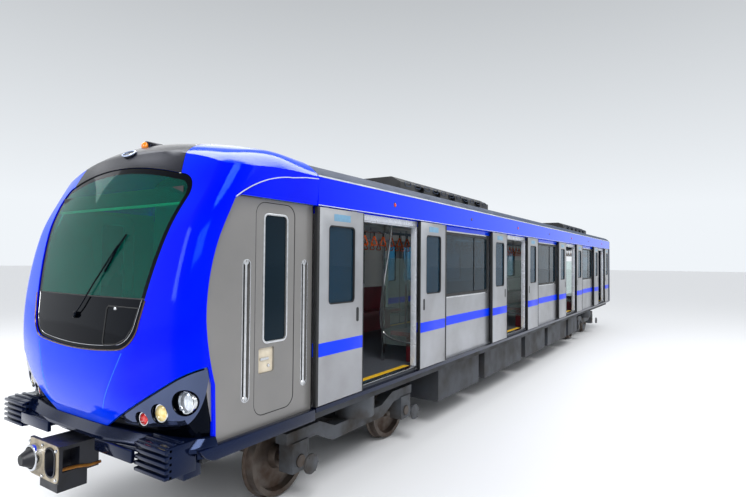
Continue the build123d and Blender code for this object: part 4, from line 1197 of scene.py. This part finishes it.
def make_doorways():
    """Pale posts and lintel, yellow floor line and curved tubes of each doorway."""
    line = block("line", (-0.70, 0.70), (-1.28, -1.20), (1.1580, 1.1600))
    finish(join("door_lines", at_each(line, DOORWAYS)), "yellow_line")
    lintel = block("lintel", (-0.697, 0.697), (-1.3835, -1.300), (3.078, 3.0975), 0.003)
    head = block("head_plate", (-0.725, 0.725), (-1.3835, -1.3805), (3.090, 3.165))
    jambs = [block("jamb", sorted((end * 0.697, end * 0.725)), (-1.3835, -1.300), (1.166, up(3.068)), 0.003)
             for end in SIDES]
    casing = join("casing", [lintel, head] + jambs)
    finish(join("door_jambs", at_each(casing, DOORWAYS)), "pale_trim")
    bend = [(-0.930, 3.27), (-0.930, 3.09), (-0.700, 1.788), (-0.820, 1.453), (-1.305, 1.453)]
    bar = tube("bar", [(0, y, z) for y, z in bend], 0.016, smooth=True)
    finish(join("screen_tubes", at_each(bar, [x + end * 0.806 for x in DOORWAYS for end in SIDES])), "polished_steel")


RIB_PITCH = 0.62
UNIT_STARTS = (-6.03, 4.17)
VENT_PITCH = 0.315


def make_roof():
    """Ribs across the roof, with the vents and pipes of the air units."""
    section = arc((-1.12, 3.614), (0, 3.733), (1.12, 3.614), 20) + [(1.12, 3.614)]
    rib = tube("rib", [(0, y, up(z)) for y, z in section], 0.009)
    ribs = repeated(rib, [(along(0.5 + RIB_PITCH * i), 0, 0) for i in range(29)])
    finish(join("roof_ribs", ribs), "roof_grey")
    vent = frame_ring("vent", (0, 3.775), (0.17, 0.055), 0.027, 0.008, -1.006, -0.997)
    vents = at_each(vent, [start + 0.22 + VENT_PITCH * i for start in UNIT_STARTS for i in range(11)])
    finish(join("unit_vents", vents), "roof_grey")
    pipe = tube("pipe", [(0, -0.4, 3.80), (-0.12, -0.42, 3.80), (-0.2, -0.45, 3.765), (-0.2, -0.45, 3.72)], 0.018)
    finish(join("unit_pipes", at_each(pipe, [start - 0.02 for start in UNIT_STARTS])), "unit_grey")


AXLE_LEVEL = 0.458
HALF_WHEELBASE = 1.15
BOGIES = {"front": 1.325, "rear": 15.625}
BOLT_CIRCLE = 0.088


def make_axle_covers():
    """Round covers with six bolts on the axle boxes."""
    cover = lathe("cover", [(HUB, 0.022), (0.07, 0.022), (0.085, 0.014), (0.10, 0.010), (0.105, 0.004),
                            (0.105, -0.02), (HUB, -0.02)], (0, -1.25, AXLE_LEVEL), (0, -1, 0))
    bolt = lathe("bolt", [(HUB, 0.008), (0.009, 0.008), (0.009, -0.004), (HUB, -0.004)],
                 (0, -1.262, AXLE_LEVEL), (0, -1, 0), 6)
    circle = [math.tau * i / 6 for i in range(6)]
    bolts = repeated(bolt, [(BOLT_CIRCLE * math.cos(a), 0, BOLT_CIRCLE * math.sin(a)) for a in circle])
    cover = join("cover", [cover] + bolts)
    for bogie, offset in BOGIES.items():
        axles = [along(offset) + way * HALF_WHEELBASE for way in SIDES]
        covers = at_each(copy_of(cover, "cover"), axles)
        finish(join(f"axle_covers_{bogie}", covers), "bogie_grey", body=f"bogie_{bogie}_body")
    bpy.data.objects.remove(cover)


make_cab()
make_lens_plates()
make_lamps()
make_nose_trim()
make_screen_fittings()
make_cap_fittings()
make_apron()
make_end_blocks()
make_coupler_face()
make_cab_door()
make_handrails()
make_leaves()
make_side_windows()
make_side_lamps()
make_side_trim()
make_straps()
make_linings()
make_doorways()
make_roof()
make_axle_covers()


# Studio
def make_floor():
    """Pale floor under the wheels."""
    bpy.ops.mesh.primitive_plane_add(size=400, location=(0, 0, -0.002))
    floor = bpy.context.object
    floor.name = "studio_floor"
    floor.data.materials.append(new_material("studio_floor", "#E9EAEC", 0.9)[0])


def make_world():
    """Pale backdrop, white at the horizon and dimmer above, for the eye and for what reflects."""
    world = bpy.data.worlds.new("studio")
    bpy.context.scene.world = world
    world.use_nodes = True
    tree = world.node_tree
    back = tree.nodes["Background"].inputs
    back["Color"].default_value = (0.92, 0.96, 1.0, 1)
    place = add_node(tree, "TexCoord").outputs["Generated"]
    level = add_node(tree, "SeparateXYZ", {0: place}).outputs["Z"]
    fade = add_node(tree, "MapRange", {"Value": level, "From Min": 0.1, "From Max": 0.8, "To Min": 0.95,
                                       "To Max": 0.22})
    rays = add_node(tree, "LightPath").outputs
    seen = rays["Is Camera Ray"]
    for label in ("Is Glossy Ray", "Is Transmission Ray"):
        seen = add_node(tree, "Math", {0: seen, 1: rays[label]}, operation="MAXIMUM").outputs[0]
    share = add_node(tree, "Mix", {"Factor": seen, "A": 0.45, "B": fade.outputs["Result"]})
    feed(tree, share.outputs["Result"], back["Strength"])


def add_light(name, kind, turn, power):
    """Light of a kind that shines along a way."""
    data = bpy.data.lights.new(name, kind)
    data.energy = power
    light = bpy.data.objects.new(name, data)
    bpy.context.scene.collection.objects.link(light)
    light.rotation_euler = Vector(turn).to_track_quat("-Z", "Y").to_euler()
    return light


def make_lamp(name, place, target, size, power, spread=1.0):
    """Large soft lamp aimed at a point; spread is its share on matt surfaces."""
    lamp = add_light(name, "AREA", Vector(target) - Vector(place), power)
    lamp.location = place
    lamp.data.shape = "RECTANGLE"
    lamp.data.size, lamp.data.size_y = size
    lamp.data.diffuse_factor = spread


def make_sun():
    """Soft even light from above, over the platform's side."""
    sun = add_light("sun", "SUN", (0.42, 0.52, -0.78), 2.0)
    sun.data.angle = math.radians(25)


make_floor()
make_world()
make_lamp("key", (-18, -8, 7), (-9, 0, 2.2), (6, 2.5), 350)
make_lamp("fill", (6, -14, 9), (4, 0, 1.5), (18, 4), 260)
make_lamp("far", (-4, 14, 12), (-4, 0, 2), (20, 6), 420)
make_sun()
make_lamp("sky_strip", (-4, 2.5, 12), (-6, 0, 3), (26, 3.5), 1500, 0.15)
make_lamp("sky_patch", (-19, 4, 6), (-10, 0, 2.2), (2.5, 5), 260, 0.1)

bpy.context.scene.view_settings.view_transform = "Standard"
